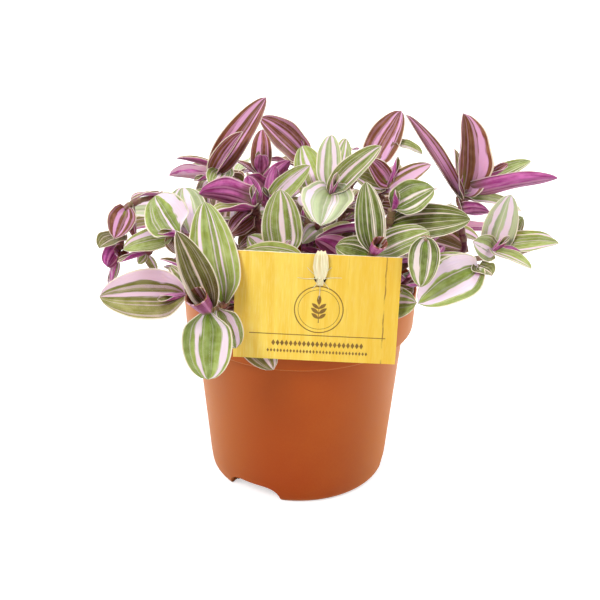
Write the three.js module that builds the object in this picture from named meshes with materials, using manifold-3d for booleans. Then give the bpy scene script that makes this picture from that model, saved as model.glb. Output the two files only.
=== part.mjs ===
import * as THREE from "three";
import { mergeVertices } from "three/addons/utils/BufferGeometryUtils.js";
import Module from "manifold-3d";

const wasm = await Module();
wasm.setup();

// Potted tradescantia, in millimetres: +Z up, the front towards -Y, the origin under the middle of the pot.
const FIT = 0.35; // gap between pieces that touch

// Nursery pot
const POT_SIDES = 32;
const POT_HEIGHT = 105;
const RIM_RADIUS = 60;
const COLLAR_FOOT_RADIUS = 59;
const COLLAR_FOOT = 84.5; // height where the collar steps out of the wall
const WALL_TOP_RADIUS = 54.5;
const WALL_FOOT_RADIUS = 47.4;
const WALL = 1.3;
const COLLAR_INNER_RADIUS = 57.3; // inside the collar, at its foot
const FOOT_INNER_RADIUS = 45.9; // inside the wall, on the floor
const RING_INNER = 40.5; // the ring that the pot stands on
const RING_OUTER = 44.5;
const HUB_RADIUS = 22; // flat middle of the base, level with the ring
const HUB_SLOPE = 1.6;
const RING_SLOPE = 1.2;
const FOOT_ROUND = { inset: 0.9, low: 1.4, high: 4.5 }; // the wall draws in towards the ring
const LIP = 0.5; // the rim's chamfer
const CHANNEL = 8.7; // raised floor between hub and ring, where the drain holes are
const DRAIN_HOLES = 6;
const DRAIN_RADIUS = 3.5;
const DRAIN_SIDES = 8;
const DRAIN_TURN = 30;
const NOTCHES = [240, 0, 120]; // directions of the drain notches in the ring
const NOTCH = { width: 31, flat: 10, height: 8.5, shoulder: 7, depth: 16, reach: 54 };
const SHOULDER_RISE = 0.65; // of the arch's height, to where its side starts to bend in
const NOTCH_STEPS = 4; // in each of the arch's shoulders

// Soil
const SOIL_LEVEL = 91.5;
const SOIL_BUMP = 0.9;
const SOIL_WAVES = { x: 7, y: 9, skew: 15 }; // the longer, the wider the lumps
const SOIL_RINGS = [1, 0.67, 0.34];

// Stems and leaves
const STEM_RADIUS = 1.8;
const STEM_SIDES = 4;
const STEM_STEP = 15;
const STEM_START = 96; // where a stem leaves its straight root and starts its curve
const ROOT_END = 80;
const HOLE_END = 76;
const BLADE = 0.8;
const BLADE_ROWS = [{ width: 20, rows: 5 }, { width: 13, rows: 4 }, { width: 0, rows: 3 }];
const EDGE = 0.4; // half-width of a leaf's very tip
const CLASP = 1; // half-width of a leaf's base, which clasps the stem
const CLASP_FOLD = 60;
const CLASP_END = 0.25; // of the blade's length
const SWELL = 0.46; // how the blade widens from its base
const TAPER = 0.64; // and narrows to its tip
const WIDEST = SWELL / (SWELL + TAPER);
const CUP = 12; // degrees by which the blade's edge stands steeper than its middle
const CLEARANCE = 3.6; // between sample points of one shoot and the next
const OWN_CLEARANCE = 2; // between the outer parts of one shoot's leaves
const LEAF_SAMPLES = { rows: 16, columns: 6, outer: 5 };
const STEM_SAMPLES = 40;
const POT_CLEARANCE = { beside: 1, above: 1.5, inside: 5, soil: 4 };
const TOWARDS_FRONT = new THREE.Vector3(0, -0.93, 0.36);
const BENDS = [0, 3, -3, 6, -6, 9, -9, 12, -12, 16, -16, 20, -20]; // tried in turn, towards the front

// Name tag on a raffia tie
const TAG = { width: 75.5, height: 51.6, thickness: 0.9 };
const TAG_CENTRE = new THREE.Vector3(7.5, -63.5, 120.8);
const TAG_TURN = 1.6; // degrees: its right side is nearer the front
const TAG_LEAN = 7;
const TAG_ROLL = 1.3;
const TAG_HOLE = { x: 1.2, y: 14.4, radius: 2.8, sides: 12 };
const RAFFIA = { width: 4.4, thickness: 0.9, knot: 1.5, steps: 24 };
// The tie's height and its distance in front of the card, from its knot round to its knot.
const RAFFIA_LOOP = [
  [17.2, -14.2], [15, -13.2], [14, -10.4], [14.2, -5], [14.4, 0], [15, 1.6], [20, 1.9], [25, 1.8],
  [27.4, 0.9], [27.5, -1.4], [25.6, -4], [22.4, -8], [20.2, -11.6], [18.4, -14],
];

// Leafy shoots that show from the front. A stem is a curve through its points, from soil to tip. A leaf is:
// place along the stem, x, y and z of its tip, width, direction and height in degrees that its upper side
// faces, bow and fold in degrees.
const FRONT_SHOOTS = {
  front_left: {
    stem: [[-24, -22, 96], [-30, -42, 122], [-34, -64, 123], [-41, -78, 126]],
    leaves: [
      [1, -41, -84, 94, 24, -90, 6, 30, 12],
      [0.96, -54, -76, 163, 22, -70, 12, -12, 42],
      [1, -49, -93, 143, 13, -80, 50, 10, 50],
      [0.7, -44, -48, 166, 23, -90, 14, 22, 8],
      [0.84, -29, -72, 104, 16, -90, 22, 25, 12],
    ],
  },
  left_low: {
    stem: [[-36, -10, 96], [-52, -26, 118], [-47, -56, 127], [-53, -62, 126]],
    leaves: [
      [1, -90, -72, 129, 26, -95, 30, 14, 20],
      [0.85, -61, -46, 133, 10, -115, 16, 10, 20],
    ],
  },
  left_far: {
    stem: [[-40, 8, 96], [-60, 4, 130], [-65, -8, 131], [-77, -12, 125]],
    leaves: [
      [1, -81, -14, 120, 6, -90, 17, 10, 30],
      [1, -73, -16, 117, 6, -90, 17, 10, 30],
      [0.7, -78, 6, 118, 9, -90, 58, 10, 10],
      [0.66, -87, -20, 130, 15, -90, 58, 20, 15],
    ],
  },
  left_hang: {
    stem: [[-36, 22, 96], [-56, 20, 140], [-70, 15, 145], [-89, 14, 140], [-93, 10, 123], [-95, 8, 113]],
    leaves: [
      [1, -98, 8, 101, 5, -90, 11, 10, 20],
      [0.8, -102, -4, 124, 15, -90, 75, 55, 12],
      [0.62, -94, 2, 127, 15, -90, 11, 12, 12],
      [0.56, -86, 4, 126, 10, -120, 10, 8, 40],
      [0.42, -86, 4, 147, 10, 90, 73, 45, 15],
      [0.88, -90, 0, 117, 10, 60, 20, 20, 50],
    ],
  },
  left_mid: {
    stem: [[-26, -4, 96], [-36, -16, 136], [-57, -34, 143]],
    leaves: [
      [1, -71, -14, 156, 23, -96, 26, 25, 10],
      [0.9, -59, 4, 154, 20, -78, 26, 20, 12],
    ],
  },
  left_top: {
    stem: [[-24, 18, 96], [-34, 20, 145], [-37, 14, 159], [-45, 12, 157]],
    leaves: [
      [1, -18, 14, 198, 17, -107, 16, 18, 20],
      [0.97, -29, 2, 184, 15, -122, 23, 10, 48],
      [1, -68, 20, 155, 14, 90, 34, 12, 15],
      [0.78, -43, -10, 159, 14, -90, 50, 30, 10],
    ],
  },
  mid_left: {
    stem: [[-16, -10, 96], [-20, -16, 134], [-22, -24, 155]],
    leaves: [
      [1, -49, -18, 159, 22, 90, 31, 38, 15],
      [0.9, -42, -24, 151, 17, 90, 73, 22, 20],
      [0.97, -34, -38, 146, 13, 90, 79, 15, 20],
    ],
  },
  top_left: {
    stem: [[-12, 20, 96], [-16, 26, 140], [-19, 12, 143], [-21, 18, 155]],
    leaves: [
      [1, -21, 40, 174, 12, -90, 6, 10, 15],
      [1, -20, 12, 169, 12, 90, 17, 5, 45],
      [0.97, -34, 24, 162, 9, 90, 79, 20, 20],
      [0.84, -27, -2, 163, 13, 68, 12, 5, 45],
      [0.84, -6, 10, 167, 11, 90, 22, 10, 30],
    ],
  },
  top_mid: {
    stem: [[2, 24, 96], [4, 32, 145], [1, 38, 159]],
    leaves: [
      [1, -22, 40, 179, 19, -70, 38, 24, 12],
    ],
  },
  centre: {
    stem: [[4, -2, 96], [6, -6, 130], [14, -22, 161]],
    leaves: [
      [1, 14, 2, 183, 16, -101, 11, 8, 34],
      [0.96, 22, 16, 177, 14, -73, 11, 8, 10],
      [1, 37, -16, 183, 15, -108, 40, 15, 28],
      [1, 9, -50, 156, 26, -90, 68, 45, 12],
      [0.84, 0, 18, 172, 18, -96, 22, 15, 10],
      [0.8, 5, -30, 150, 18, -90, 53, 15, 10],
    ],
  },
  centre_left: {
    stem: [[-4, 8, 96], [-8, 2, 126], [-16, -8, 150]],
    leaves: [
      [1, 4, -4, 169, 13, -107, 30, 12, 15],
    ],
  },
  front_right: {
    stem: [[14, -22, 96], [24, -36, 118], [33, -55, 145]],
    leaves: [
      [1, 29, -46, 176, 15, -90, 9, 8, 15],
      [0.95, 60, -38, 149, 16, -90, 49, 30, 12],
      [1, 38, -68, 158, 9, -90, 59, 10, 50],
      [0.95, 16, -50, 146, 15, -90, 37, 20, 12],
      [0.7, 7, -42, 146, 19, 90, 31, 40, 15],
      [0.5, 1, -26, 135, 13, 90, 31, 20, 15],
    ],
  },
  front_mid: {
    stem: [[-12, -28, 96], [-14, -36, 116], [-8, -42, 136]],
    leaves: [
      [1, -10, -30, 166, 21, -90, 6, 8, 18],
      [0.9, -25, -34, 144, 14, -135, 45, 20, 10],
    ],
  },
  front_card: {
    stem: [[8, -36, 96], [20, -47, 116], [17, -51, 134], [1, -51, 138]],
    leaves: [
      [1, -28, -53, 142, 16, -90, 35, 30, 10],
    ],
  },
  top_right: {
    stem: [[16, 20, 96], [24, 24, 145], [35, 26, 157], [48, 30, 170]],
    leaves: [
      [0.68, 51, 40, 185, 19, -112, 14, 18, 12],
      [1, 62, 24, 167, 8, -90, 68, 40, 20],
      [0.72, 49, 26, 172, 8, 90, 27, 10, 25],
    ],
  },
  right_inner: {
    stem: [[22, 6, 96], [34, 6, 136], [43, 8, 156]],
    leaves: [
      [1, 32, 0, 172, 13, -68, 16, 10, 25],
      [1, 50, 18, 163, 8, -90, 73, 20, 15],
      [1, 58, 12, 160, 8, 90, 59, 15, 15],
      [0.85, 64, 22, 161, 12, -90, 53, 30, 10],
    ],
  },
  right_mid: {
    stem: [[26, -10, 96], [40, -14, 128], [44, -18, 152]],
    leaves: [
      [1, 64, -14, 162, 20, -90, 55, 20, 12],
      [0.92, 60, -26, 158, 11, 90, 42, 15, 15],
      [0.8, 82, -16, 147, 19, -90, 37, 20, 12],
      [0.74, 80, -28, 147, 10, 90, 59, 15, 15],
      [0.9, 71, 10, 154, 8, 90, 63, 10, 15],
    ],
  },
  right_up: {
    stem: [[34, 4, 96], [62, 2, 120], [82, 0, 123], [81, 4, 136], [80, 8, 150]],
    leaves: [
      [1, 79, 12, 192, 30, -55, 8, 20, 35],
      [1, 126, -2, 164, 15, 90, 31, 12, 15],
      [1, 104, 12, 167, 8, -90, 50, 5, 50],
      [1, 119, 20, 166, 11, -90, 55, 25, 15],
      [0.97, 49, 6, 191, 13, -58, 28, 5, 40],
      [0.85, 77, 10, 175, 10, -53, 11, 8, 38],
      [0.97, 113, 2, 145, 13, -90, 79, 35, 12],
      [0.85, 93, -8, 148, 14, 90, 22, 10, 20],
    ],
  },
  right_far: {
    stem: [[42, -6, 96], [62, -11, 118], [90, -12, 125], [95, -14, 129]],
    leaves: [
      [1, 102, 8, 151, 18, -102, 16, 10, 15],
      [0.96, 112, 4, 141, 12, -90, 34, 10, 15],
      [1, 84, -20, 137, 14, -107, 35, 30, 12],
      [1, 124, -14, 137, 14, -90, 52, 22, 12],
      [0.98, 124, -28, 140, 13, -90, 60, 15, 20],
      [1, 106, -36, 131, 9, -90, 50, 15, 15],
      [1, 106, -26, 135, 7, 90, 35, 5, 40],
    ],
  },
  right_low: {
    stem: [[38, -18, 96], [54, -28, 118], [77, -42, 133], [83, -46, 134]],
    leaves: [
      [1, 54, -64, 124, 24, -104, 40, 25, 10],
      [1, 88, -56, 135, 12, -70, 35, 20, 15],
      [0.97, 73, -46, 122, 15, -90, 37, 15, 12],
      [0.8, 61, -38, 133, 12, -90, 60, 25, 15],
    ],
  },
  right_front: {
    stem: [[30, -28, 96], [47, -42, 122], [56, -58, 142], [56, -60, 155]],
    leaves: [
      [1, 54, -70, 135, 15, -95, 9, 25, 12],
      [0.92, 49, -54, 133, 8, 10, 20, 15, 15],
    ],
  },
  front_tip: {
    stem: [[18, -38, 96], [26, -50, 114], [36, -52, 119]],
    leaves: [
      [1, 54, -64, 124, 17, -90, 25, 12, 12],
      [0.9, 53, -51, 125, 11, -90, 50, 15, 12],
    ],
  },
  front_low: {
    stem: [[-18, -38, 96], [-22, -49, 112], [-29, -55, 114]],
    leaves: [
      [1, -12, -65, 89, 20, -94, 7, -6, 2],
    ],
  },
};

// Shoots at the back and in the middle, whose leaves follow a rule.
const BACK_SHOOTS = {
  back_far_left: { stem: [[-38, 28, 96], [-52, 38, 122], [-74, 54, 112]], count: 7 },
  back_left: { stem: [[-22, 34, 96], [-30, 50, 136], [-44, 70, 134]], count: 7 },
  back_mid_left: { stem: [[-8, 42, 96], [-12, 58, 120], [-20, 86, 112]], count: 7 },
  back_mid: { stem: [[4, 34, 96], [6, 52, 138], [4, 70, 140]], count: 7 },
  back_mid_right: { stem: [[12, 44, 96], [20, 57, 118], [34, 84, 108]], count: 7 },
  back_right: { stem: [[26, 34, 96], [38, 50, 124], [46, 70, 112]], count: 7 },
  back_far_right: { stem: [[40, 20, 96], [54, 32, 120], [80, 50, 112]], count: 7 },
  middle_left: { stem: [[-24, 6, 96], [-34, 4, 118], [-46, 10, 132]], count: 3 },
};
const OUTER_LEAF = { length: [32, 46], width: [15, 22], height: [-15, 35], top: 152, reach: 118 };
const INNER_LEAF = { length: [24, 34], width: [12, 17], height: [0, 45], top: 136, reach: 56 };
const INNER_PLACES = [0.34, 0.52];
const SPREAD = [25, 75]; // degrees that a leaf turns from its stem, left and right by turns
const RULE_TURN = [-50, 50]; // degrees by which the upper side's direction differs from the leaf's
const RULE_FACING = [35, 75];
const RULE_BOW = [15, 40];
const RULE_FOLD = [10, 20];
const RULE_TRIES = 16;
const LEAF_SPACING = 0.13; // of the stem's length
const SEED = 71;
const DRAW_FACTOR = 16807;
const DRAW_PRIME = 2147483647;

const radians = THREE.MathUtils.degToRad;
const { smoothstep } = THREE.MathUtils;
const vector = ([x, y, z]) => new THREE.Vector3(x, y, z);
const sum = (...terms) =>
  terms.reduce((total, [factor, term]) => total.addScaledVector(term, factor), new THREE.Vector3());

function direction(azimuth, height) {
  const [a, h] = [radians(azimuth), radians(height)];
  return new THREE.Vector3(Math.cos(a) * Math.cos(h), Math.sin(a) * Math.cos(h), Math.sin(h));
}

function zone(middle, size) {
  return new THREE.Box3().setFromCenterAndSize(vector(middle), vector(size));
}

let seed = SEED;
function draw([low, high]) {
  seed = (seed * DRAW_FACTOR) % DRAW_PRIME;
  return low + ((high - low) * seed) / DRAW_PRIME;
}

// Solids: joined and cut as closed meshes with shared vertices.
function solidOf(geometry) {
  const bare = geometry.clone();
  bare.deleteAttribute("normal");
  bare.deleteAttribute("uv");
  const merged = mergeVertices(bare, 1e-4);
  return new wasm.Manifold(
    new wasm.Mesh({
      numProp: 3,
      vertProperties: merged.attributes.position.array,
      triVerts: new Uint32Array(merged.index.array),
    }),
  );
}

function geometryOf(solid) {
  const mesh = solid.getMesh();
  const geometry = new THREE.BufferGeometry();
  geometry.setAttribute("position", new THREE.BufferAttribute(mesh.vertProperties, 3));
  geometry.setIndex(new THREE.BufferAttribute(mesh.triVerts, 1));
  geometry.computeVertexNormals();
  return geometry;
}

function piece(name, solid, color, roughness) {
  const material = new THREE.MeshStandardMaterial({ color, roughness, metalness: 0 });
  const mesh = new THREE.Mesh(geometryOf(solid), material);
  mesh.name = name;
  return mesh;
}

function turned(profile) {
  const points = profile.map(([radius, height]) => new THREE.Vector2(radius, height));
  return new THREE.LatheGeometry(points, POT_SIDES).rotateX(Math.PI / 2);
}

function upright(radius, bottom, top, x, y, sides) {
  const rod = new THREE.CylinderGeometry(radius, radius, top - bottom, sides).rotateX(Math.PI / 2);
  return solidOf(rod.translate(x, y, (top + bottom) / 2));
}

// A sheet of even thickness on a grid of points, with the upper side's direction at each point. Both
// faces are split into triangles alike.
function sheet({ points, normals }, thickness) {
  const rows = points.length - 1;
  const columns = points[0].length - 1;
  const positions = [0.5, -0.5].flatMap((side) =>
    points.flatMap((row, i) =>
      row.flatMap((point, j) => sum([1, point], [side * thickness, normals[i][j]]).toArray()),
    ),
  );
  const over = ([i, j]) => i * (columns + 1) + j;
  const under = (corner) => over(corner) + (rows + 1) * (columns + 1);
  const faces = [];
  for (let i = 0; i < rows; i++)
    for (let j = 0; j < columns; j++) {
      const [a, b, c, d] = [[i, j], [i, j + 1], [i + 1, j + 1], [i + 1, j]];
      faces.push(over(a), over(b), over(c), over(a), over(c), over(d));
      faces.push(under(a), under(c), under(b), under(a), under(d), under(c));
    }
  const rim = [];
  for (let j = 0; j < columns; j++) rim.push([0, j]);
  for (let i = 0; i < rows; i++) rim.push([i, columns]);
  for (let j = columns; j > 0; j--) rim.push([rows, j]);
  for (let i = rows; i > 0; i--) rim.push([i, 0]);
  rim.forEach((a, k) => {
    const b = rim[(k + 1) % rim.length];
    faces.push(over(b), over(a), under(a), over(b), under(a), under(b));
  });
  const geometry = new THREE.BufferGeometry();
  geometry.setAttribute("position", new THREE.Float32BufferAttribute(positions, 3));
  geometry.setIndex(faces);
  return solidOf(geometry);
}

// Pot
function potSolid() {
  const floor = CHANNEL + WALL;
  const pot = turned([
    [0, 0],
    [HUB_RADIUS, 0],
    [HUB_RADIUS + HUB_SLOPE, CHANNEL],
    [RING_INNER - RING_SLOPE, CHANNEL],
    [RING_INNER, 0],
    [RING_OUTER, 0],
    [WALL_FOOT_RADIUS - FOOT_ROUND.inset, FOOT_ROUND.low],
    [WALL_FOOT_RADIUS, FOOT_ROUND.high],
    [WALL_TOP_RADIUS, COLLAR_FOOT],
    [COLLAR_FOOT_RADIUS, COLLAR_FOOT],
    [RIM_RADIUS, POT_HEIGHT - 2 * LIP],
    [RIM_RADIUS - LIP, POT_HEIGHT],
    [RIM_RADIUS - WALL, POT_HEIGHT],
    [COLLAR_INNER_RADIUS, COLLAR_FOOT + WALL],
    [WALL_TOP_RADIUS - WALL, COLLAR_FOOT],
    [FOOT_INNER_RADIUS, floor],
    [HUB_RADIUS + HUB_SLOPE - WALL, floor],
    [HUB_RADIUS - WALL, WALL],
    [0, WALL],
  ]);
  return [...drainHoles(), ...NOTCHES.map(notchSolid)].reduce(
    (solid, cut) => solid.subtract(cut),
    solidOf(pot),
  );
}

function drainHoles() {
  const radius = (HUB_RADIUS + RING_INNER) / 2;
  return Array.from({ length: DRAIN_HOLES }, (_, k) => {
    const spot = direction(DRAIN_TURN + (k * 360) / DRAIN_HOLES, 0).multiplyScalar(radius);
    return upright(DRAIN_RADIUS, CHANNEL - WALL, CHANNEL + 2 * WALL, spot.x, spot.y, DRAIN_SIDES);
  });
}

// A low arch with round shoulders, cut outwards through the foot ring.
function notchSolid(azimuth) {
  const { height, shoulder } = NOTCH;
  const half = NOTCH.width / 2;
  const flat = NOTCH.flat / 2;
  const arch = new THREE.Shape();
  arch.moveTo(-half, -height);
  arch.lineTo(half, -height);
  arch.lineTo(half, 0);
  arch.bezierCurveTo(half, SHOULDER_RISE * height, flat + shoulder, height, flat, height);
  arch.lineTo(-flat, height);
  arch.bezierCurveTo(-flat - shoulder, height, -half, SHOULDER_RISE * height, -half, 0);
  const options = { depth: NOTCH.depth, bevelEnabled: false, curveSegments: NOTCH_STEPS };
  const block = new THREE.ExtrudeGeometry(arch, options).rotateX(Math.PI / 2);
  return solidOf(block.translate(0, NOTCH.reach, 0).rotateZ(radians(azimuth - 90)));
}

// Soil: a plug that fills the pot, with a lumpy top and a plain hole for each stem.
function soilSolid(roots) {
  const floor = CHANNEL + WALL + FIT;
  const top = COLLAR_INNER_RADIUS - FIT;
  const soil = turned([
    [0, WALL + FIT],
    [HUB_RADIUS - WALL - FIT, WALL + FIT],
    [HUB_RADIUS - FIT, floor],
    [FOOT_INNER_RADIUS - FIT, floor],
    [WALL_TOP_RADIUS - WALL - 1.3 * FIT, COLLAR_FOOT],
    [top, COLLAR_FOOT + WALL + FIT],
    ...SOIL_RINGS.map((ring) => [ring * top, SOIL_LEVEL]),
    [0, SOIL_LEVEL],
  ]);
  const { position } = soil.attributes;
  for (let i = 0; i < position.count; i++) {
    const [x, y, z] = [position.getX(i), position.getY(i), position.getZ(i)];
    if (z > SOIL_LEVEL - 0.01) position.setZ(i, z + soilBump(x, y));
  }
  const holes = roots.map(([x, y]) => upright(STEM_RADIUS + FIT, HOLE_END, STEM_START, x, y, STEM_SIDES));
  return holes.reduce((solid, hole) => solid.subtract(hole), solidOf(soil));
}

const soilBump = (x, y) =>
  SOIL_BUMP * Math.sin(x / SOIL_WAVES.x) * Math.cos(y / SOIL_WAVES.y + x / SOIL_WAVES.skew);

// The blade's middle surface. Its midrib is a circular arc from base to tip, bowed towards the upper
// side, and its two halves rise from it, steeply at the base.
function bladeSurface({ base, tip, width, face, bow, fold }, rows, columns) {
  const chord = tip.clone().sub(base);
  const along = chord.clone().normalize();
  const up = sum([1, face], [-face.dot(along), along]).normalize();
  const bend = radians(Math.abs(bow) > 1 ? bow : 1);
  const arc = chord.length() / (2 * Math.sin(bend / 2));
  const surface = { points: [], normals: [] };
  for (let i = 0; i <= rows; i++) {
    const s = i / rows;
    const a = bend * (s - 0.5);
    const [forth, lift] = [Math.sin(a) + Math.sin(bend / 2), Math.cos(a) - Math.cos(bend / 2)];
    const rib = sum([1, base], [arc * forth, along], [arc * lift, up]);
    const upper = sum([Math.cos(a), up], [Math.sin(a), along]);
    const side = sum([Math.cos(a), along], [-Math.sin(a), up]).cross(upper);
    const half = halfWidth(s, width);
    const rowFold = fold + (CLASP_FOLD - fold) * (1 - smoothstep(s, 0, CLASP_END));
    const across = Array.from({ length: columns + 1 }, (_, j) => (2 * j) / columns - 1);
    const rise = (v) => radians(rowFold + CUP * (Math.abs(v) - 0.5));
    surface.points.push(
      across.map((v) => {
        const [out, raised] = [v * half * Math.cos(rise(v)), Math.abs(v) * half * Math.sin(rise(v))];
        return sum([1, rib], [out, side], [raised, upper]);
      }),
    );
    surface.normals.push(
      across.map((v) =>
        v === 0
          ? sum([1 / Math.max(Math.cos(rise(v)), 0.5), upper])
          : sum([Math.cos(rise(v)), upper], [-Math.sign(v) * Math.sin(rise(v)), side]),
      ),
    );
  }
  return surface;
}

function halfWidth(s, width) {
  const shape = (s / WIDEST) ** SWELL * ((1 - s) / (1 - WIDEST)) ** TAPER;
  return Math.max((width / 2) * shape + CLASP * (1 - smoothstep(s, 0, CLASP_END)), EDGE);
}

// Keeping clear: each leaf and stem leaves sample points, which later leaves are bent away from.
const taken = [];

function sampled(shoot, points, outer) {
  const middle = new THREE.Box3().setFromPoints(points).getCenter(new THREE.Vector3());
  const reach = Math.max(...points.map((point) => point.distanceTo(middle)));
  return { shoot, points, outer, middle, reach };
}

function leafSamples(shoot, leaf) {
  const { points } = bladeSurface(leaf, LEAF_SAMPLES.rows, LEAF_SAMPLES.columns);
  return sampled(shoot, points.flat(), points.slice(LEAF_SAMPLES.outer).flat());
}

const near = (some, others, gap) =>
  some.some((point) => others.some((other) => point.distanceToSquared(other) < gap * gap));

function isClear(mine) {
  if (mine.points.some(isBlocked)) return false;
  return taken.every((other) => {
    const own = other.shoot === mine.shoot;
    const gap = own ? OWN_CLEARANCE : CLEARANCE;
    if (mine.middle.distanceTo(other.middle) > mine.reach + other.reach + gap) return true;
    return !near(own ? mine.outer : mine.points, own ? other.outer : other.points, gap);
  });
}

// Whether a point lies too near the pot, the soil, the tag or its tie.
function isBlocked(point) {
  const radius = Math.hypot(point.x, point.y);
  const { beside, above, inside, soil } = POT_CLEARANCE;
  const overPot = radius < RIM_RADIUS + beside && point.z < POT_HEIGHT + above;
  if (overPot && (radius > RIM_RADIUS - inside || point.z < SOIL_LEVEL + soil)) return true;
  const inTag = point.clone().applyMatrix4(TAG_INVERSE);
  return TAG_ZONE.containsPoint(inTag) || TIE_ZONE.containsPoint(inTag);
}

const tagFrame = tagPlacement();
const TAG_INVERSE = tagFrame.clone().invert();
const TAG_ZONE = zone([0, 0, 0], [TAG.width + 3, TAG.height + 3, 3.6]);
const TIE_ZONE = zone([TAG_HOLE.x, 20.5, -6], [RAFFIA.width + 3, 19, 20]);

// A leaf of the table, bent towards or away from the front until it is clear.
function placedLeaf(shoot, stem, row) {
  const [place, x, y, z, width, azimuth, height, bow, fold] = row;
  const leaf = { base: stem.getPoint(place), width, face: direction(azimuth, height), bow, fold };
  const bent = (amount) => ({ ...leaf, tip: sum([1, vector([x, y, z])], [amount, TOWARDS_FRONT]) });
  const amount = BENDS.find((bend) => isClear(leafSamples(shoot, bent(bend)))) ?? 0;
  return bent(amount);
}

// A leaf by rule, on the left or right of its stem, or none where nothing is clear.
function ruleLeaf(shoot, stem, place, side, size) {
  const base = stem.getPoint(place);
  const ahead = base.clone().sub(stem.getPoint(place - LEAF_SPACING));
  const heading = THREE.MathUtils.radToDeg(Math.atan2(ahead.y, ahead.x));
  for (let k = 0; k < RULE_TRIES; k++) {
    const azimuth = heading + side * draw(SPREAD);
    const tip = sum([1, base], [draw(size.length), direction(azimuth, draw(size.height))]);
    const face = direction(azimuth + draw(RULE_TURN), draw(RULE_FACING));
    const [width, bow, fold] = [size.width, RULE_BOW, RULE_FOLD].map(draw);
    const leaf = { base, tip, width, face, bow, fold };
    const inside = tip.z < size.top && Math.hypot(tip.x, tip.y) < size.reach;
    if (inside && isClear(leafSamples(shoot, leaf))) return leaf;
  }
  return undefined;
}

function leafSolid(leaf) {
  const rows = BLADE_ROWS.find(({ width }) => leaf.width >= width).rows;
  return sheet(bladeSurface(leaf, rows, 2), BLADE);
}

// Blades and stem fused into one body, with any small hollow among the blades' bases filled.
function shootSolid(stem, leaves) {
  const fused = leaves.reduce((whole, leaf) => whole.add(leafSolid(leaf)), stemSolid(stem));
  return fused.decompose().reduce((most, body) => (body.volume() > most.volume() ? body : most));
}

function stemSolid(stem) {
  const section = new THREE.Shape();
  for (let k = 0; k < STEM_SIDES; k++) {
    const spot = direction((k * 360) / STEM_SIDES, 0).multiplyScalar(STEM_RADIUS);
    section[k ? "lineTo" : "moveTo"](spot.x, spot.y);
  }
  const steps = Math.max(4, Math.round(stem.getLength() / STEM_STEP));
  const tube = new THREE.ExtrudeGeometry(section, { steps, extrudePath: stem });
  const { x, y } = stem.getPoint(0);
  return solidOf(tube).add(upright(STEM_RADIUS, ROOT_END, STEM_START + 1, x, y, STEM_SIDES));
}

const curveOf = ({ stem }) => new THREE.CatmullRomCurve3(stem.map(vector), false, "catmullrom", 0.5);

function shootLeaves() {
  const curves = Object.fromEntries(
    Object.entries({ ...FRONT_SHOOTS, ...BACK_SHOOTS }).map(([name, shoot]) => [name, curveOf(shoot)]),
  );
  const leaves = Object.fromEntries(Object.keys(curves).map((name) => [name, []]));
  for (const [name, stem] of Object.entries(curves)) {
    taken.push(sampled(name, stem.getPoints(STEM_SAMPLES), []));
  }
  const keep = (name, leaf) => {
    if (!leaf) return;
    leaves[name].push(leaf);
    taken.push(leafSamples(name, leaf));
  };
  for (const [name, shoot] of Object.entries(FRONT_SHOOTS))
    for (const row of shoot.leaves) keep(name, placedLeaf(name, curves[name], row));
  for (const [name, shoot] of Object.entries(BACK_SHOOTS))
    for (let k = 0; k < shoot.count; k++)
      keep(name, ruleLeaf(name, curves[name], 1 - k * LEAF_SPACING, k % 2 ? 1 : -1, OUTER_LEAF));
  for (const name of Object.keys(FRONT_SHOOTS))
    INNER_PLACES.forEach((place, k) =>
      keep(name, ruleLeaf(name, curves[name], place, k ? 1 : -1, INNER_LEAF)),
    );
  return Object.entries(curves).map(([name, stem]) => ({ name, stem, leaves: leaves[name] }));
}

// Tag and tie
function tagPlacement() {
  const flat = new THREE.Vector3(Math.cos(radians(TAG_TURN)), -Math.sin(radians(TAG_TURN)), 0);
  const out = direction(-90 - TAG_TURN, TAG_LEAN);
  const rise = out.clone().cross(flat);
  const [cos, sin] = [Math.cos(radians(TAG_ROLL)), Math.sin(radians(TAG_ROLL))];
  const right = sum([cos, flat], [-sin, rise]);
  return new THREE.Matrix4().makeBasis(right, out.clone().cross(right), out).setPosition(TAG_CENTRE);
}

function tagSolid() {
  const card = new THREE.BoxGeometry(TAG.width, TAG.height, TAG.thickness);
  const { x, y, radius, sides } = TAG_HOLE;
  return solidOf(card).subtract(upright(radius, -TAG.thickness, TAG.thickness, x, y, sides));
}

// The raffia goes from its knot behind a stem through the card's hole, over its top edge and back.
function tieSolid() {
  const loop = new THREE.CatmullRomCurve3(
    RAFFIA_LOOP.map(([height, out]) => new THREE.Vector3(TAG_HOLE.x, height, out)),
    false,
    "catmullrom",
    0.5,
  );
  const across = new THREE.Vector3(1, 0, 0);
  const band = { points: [], normals: [] };
  for (let k = 0; k <= RAFFIA.steps; k++) {
    const point = loop.getPoint(k / RAFFIA.steps);
    const normal = across.clone().cross(loop.getTangent(k / RAFFIA.steps)).normalize();
    band.points.push([-0.5, 0.5].map((side) => sum([1, point], [side * RAFFIA.width, across])));
    band.normals.push([normal, normal]);
  }
  const knot = new THREE.IcosahedronGeometry(RAFFIA.knot, 0).scale(1.5, 1, 1);
  const start = loop.getPoint(0.01);
  return sheet(band, RAFFIA.thickness).add(solidOf(knot.translate(start.x, start.y, start.z)));
}

const potted = new THREE.Group();
const shoots = shootLeaves();
potted.add(piece("pot", potSolid(), 0xb05a28, 0.45));
potted.add(piece("soil", soilSolid(shoots.map(({ stem }) => stem.getPoint(0).toArray())), 0x3a2a20, 0.95));
for (const { name, stem, leaves } of shoots) {
  potted.add(piece("shoot_" + name, shootSolid(stem, leaves), 0x8fae62, 0.5));
}
const hanging = new THREE.Group();
hanging.applyMatrix4(tagFrame);
hanging.add(piece("tag_card", tagSolid(), 0xe9c84a, 0.6));
hanging.add(piece("tag_tie", tieSolid(), 0xf0e6c8, 0.8));
potted.add(hanging);

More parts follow.
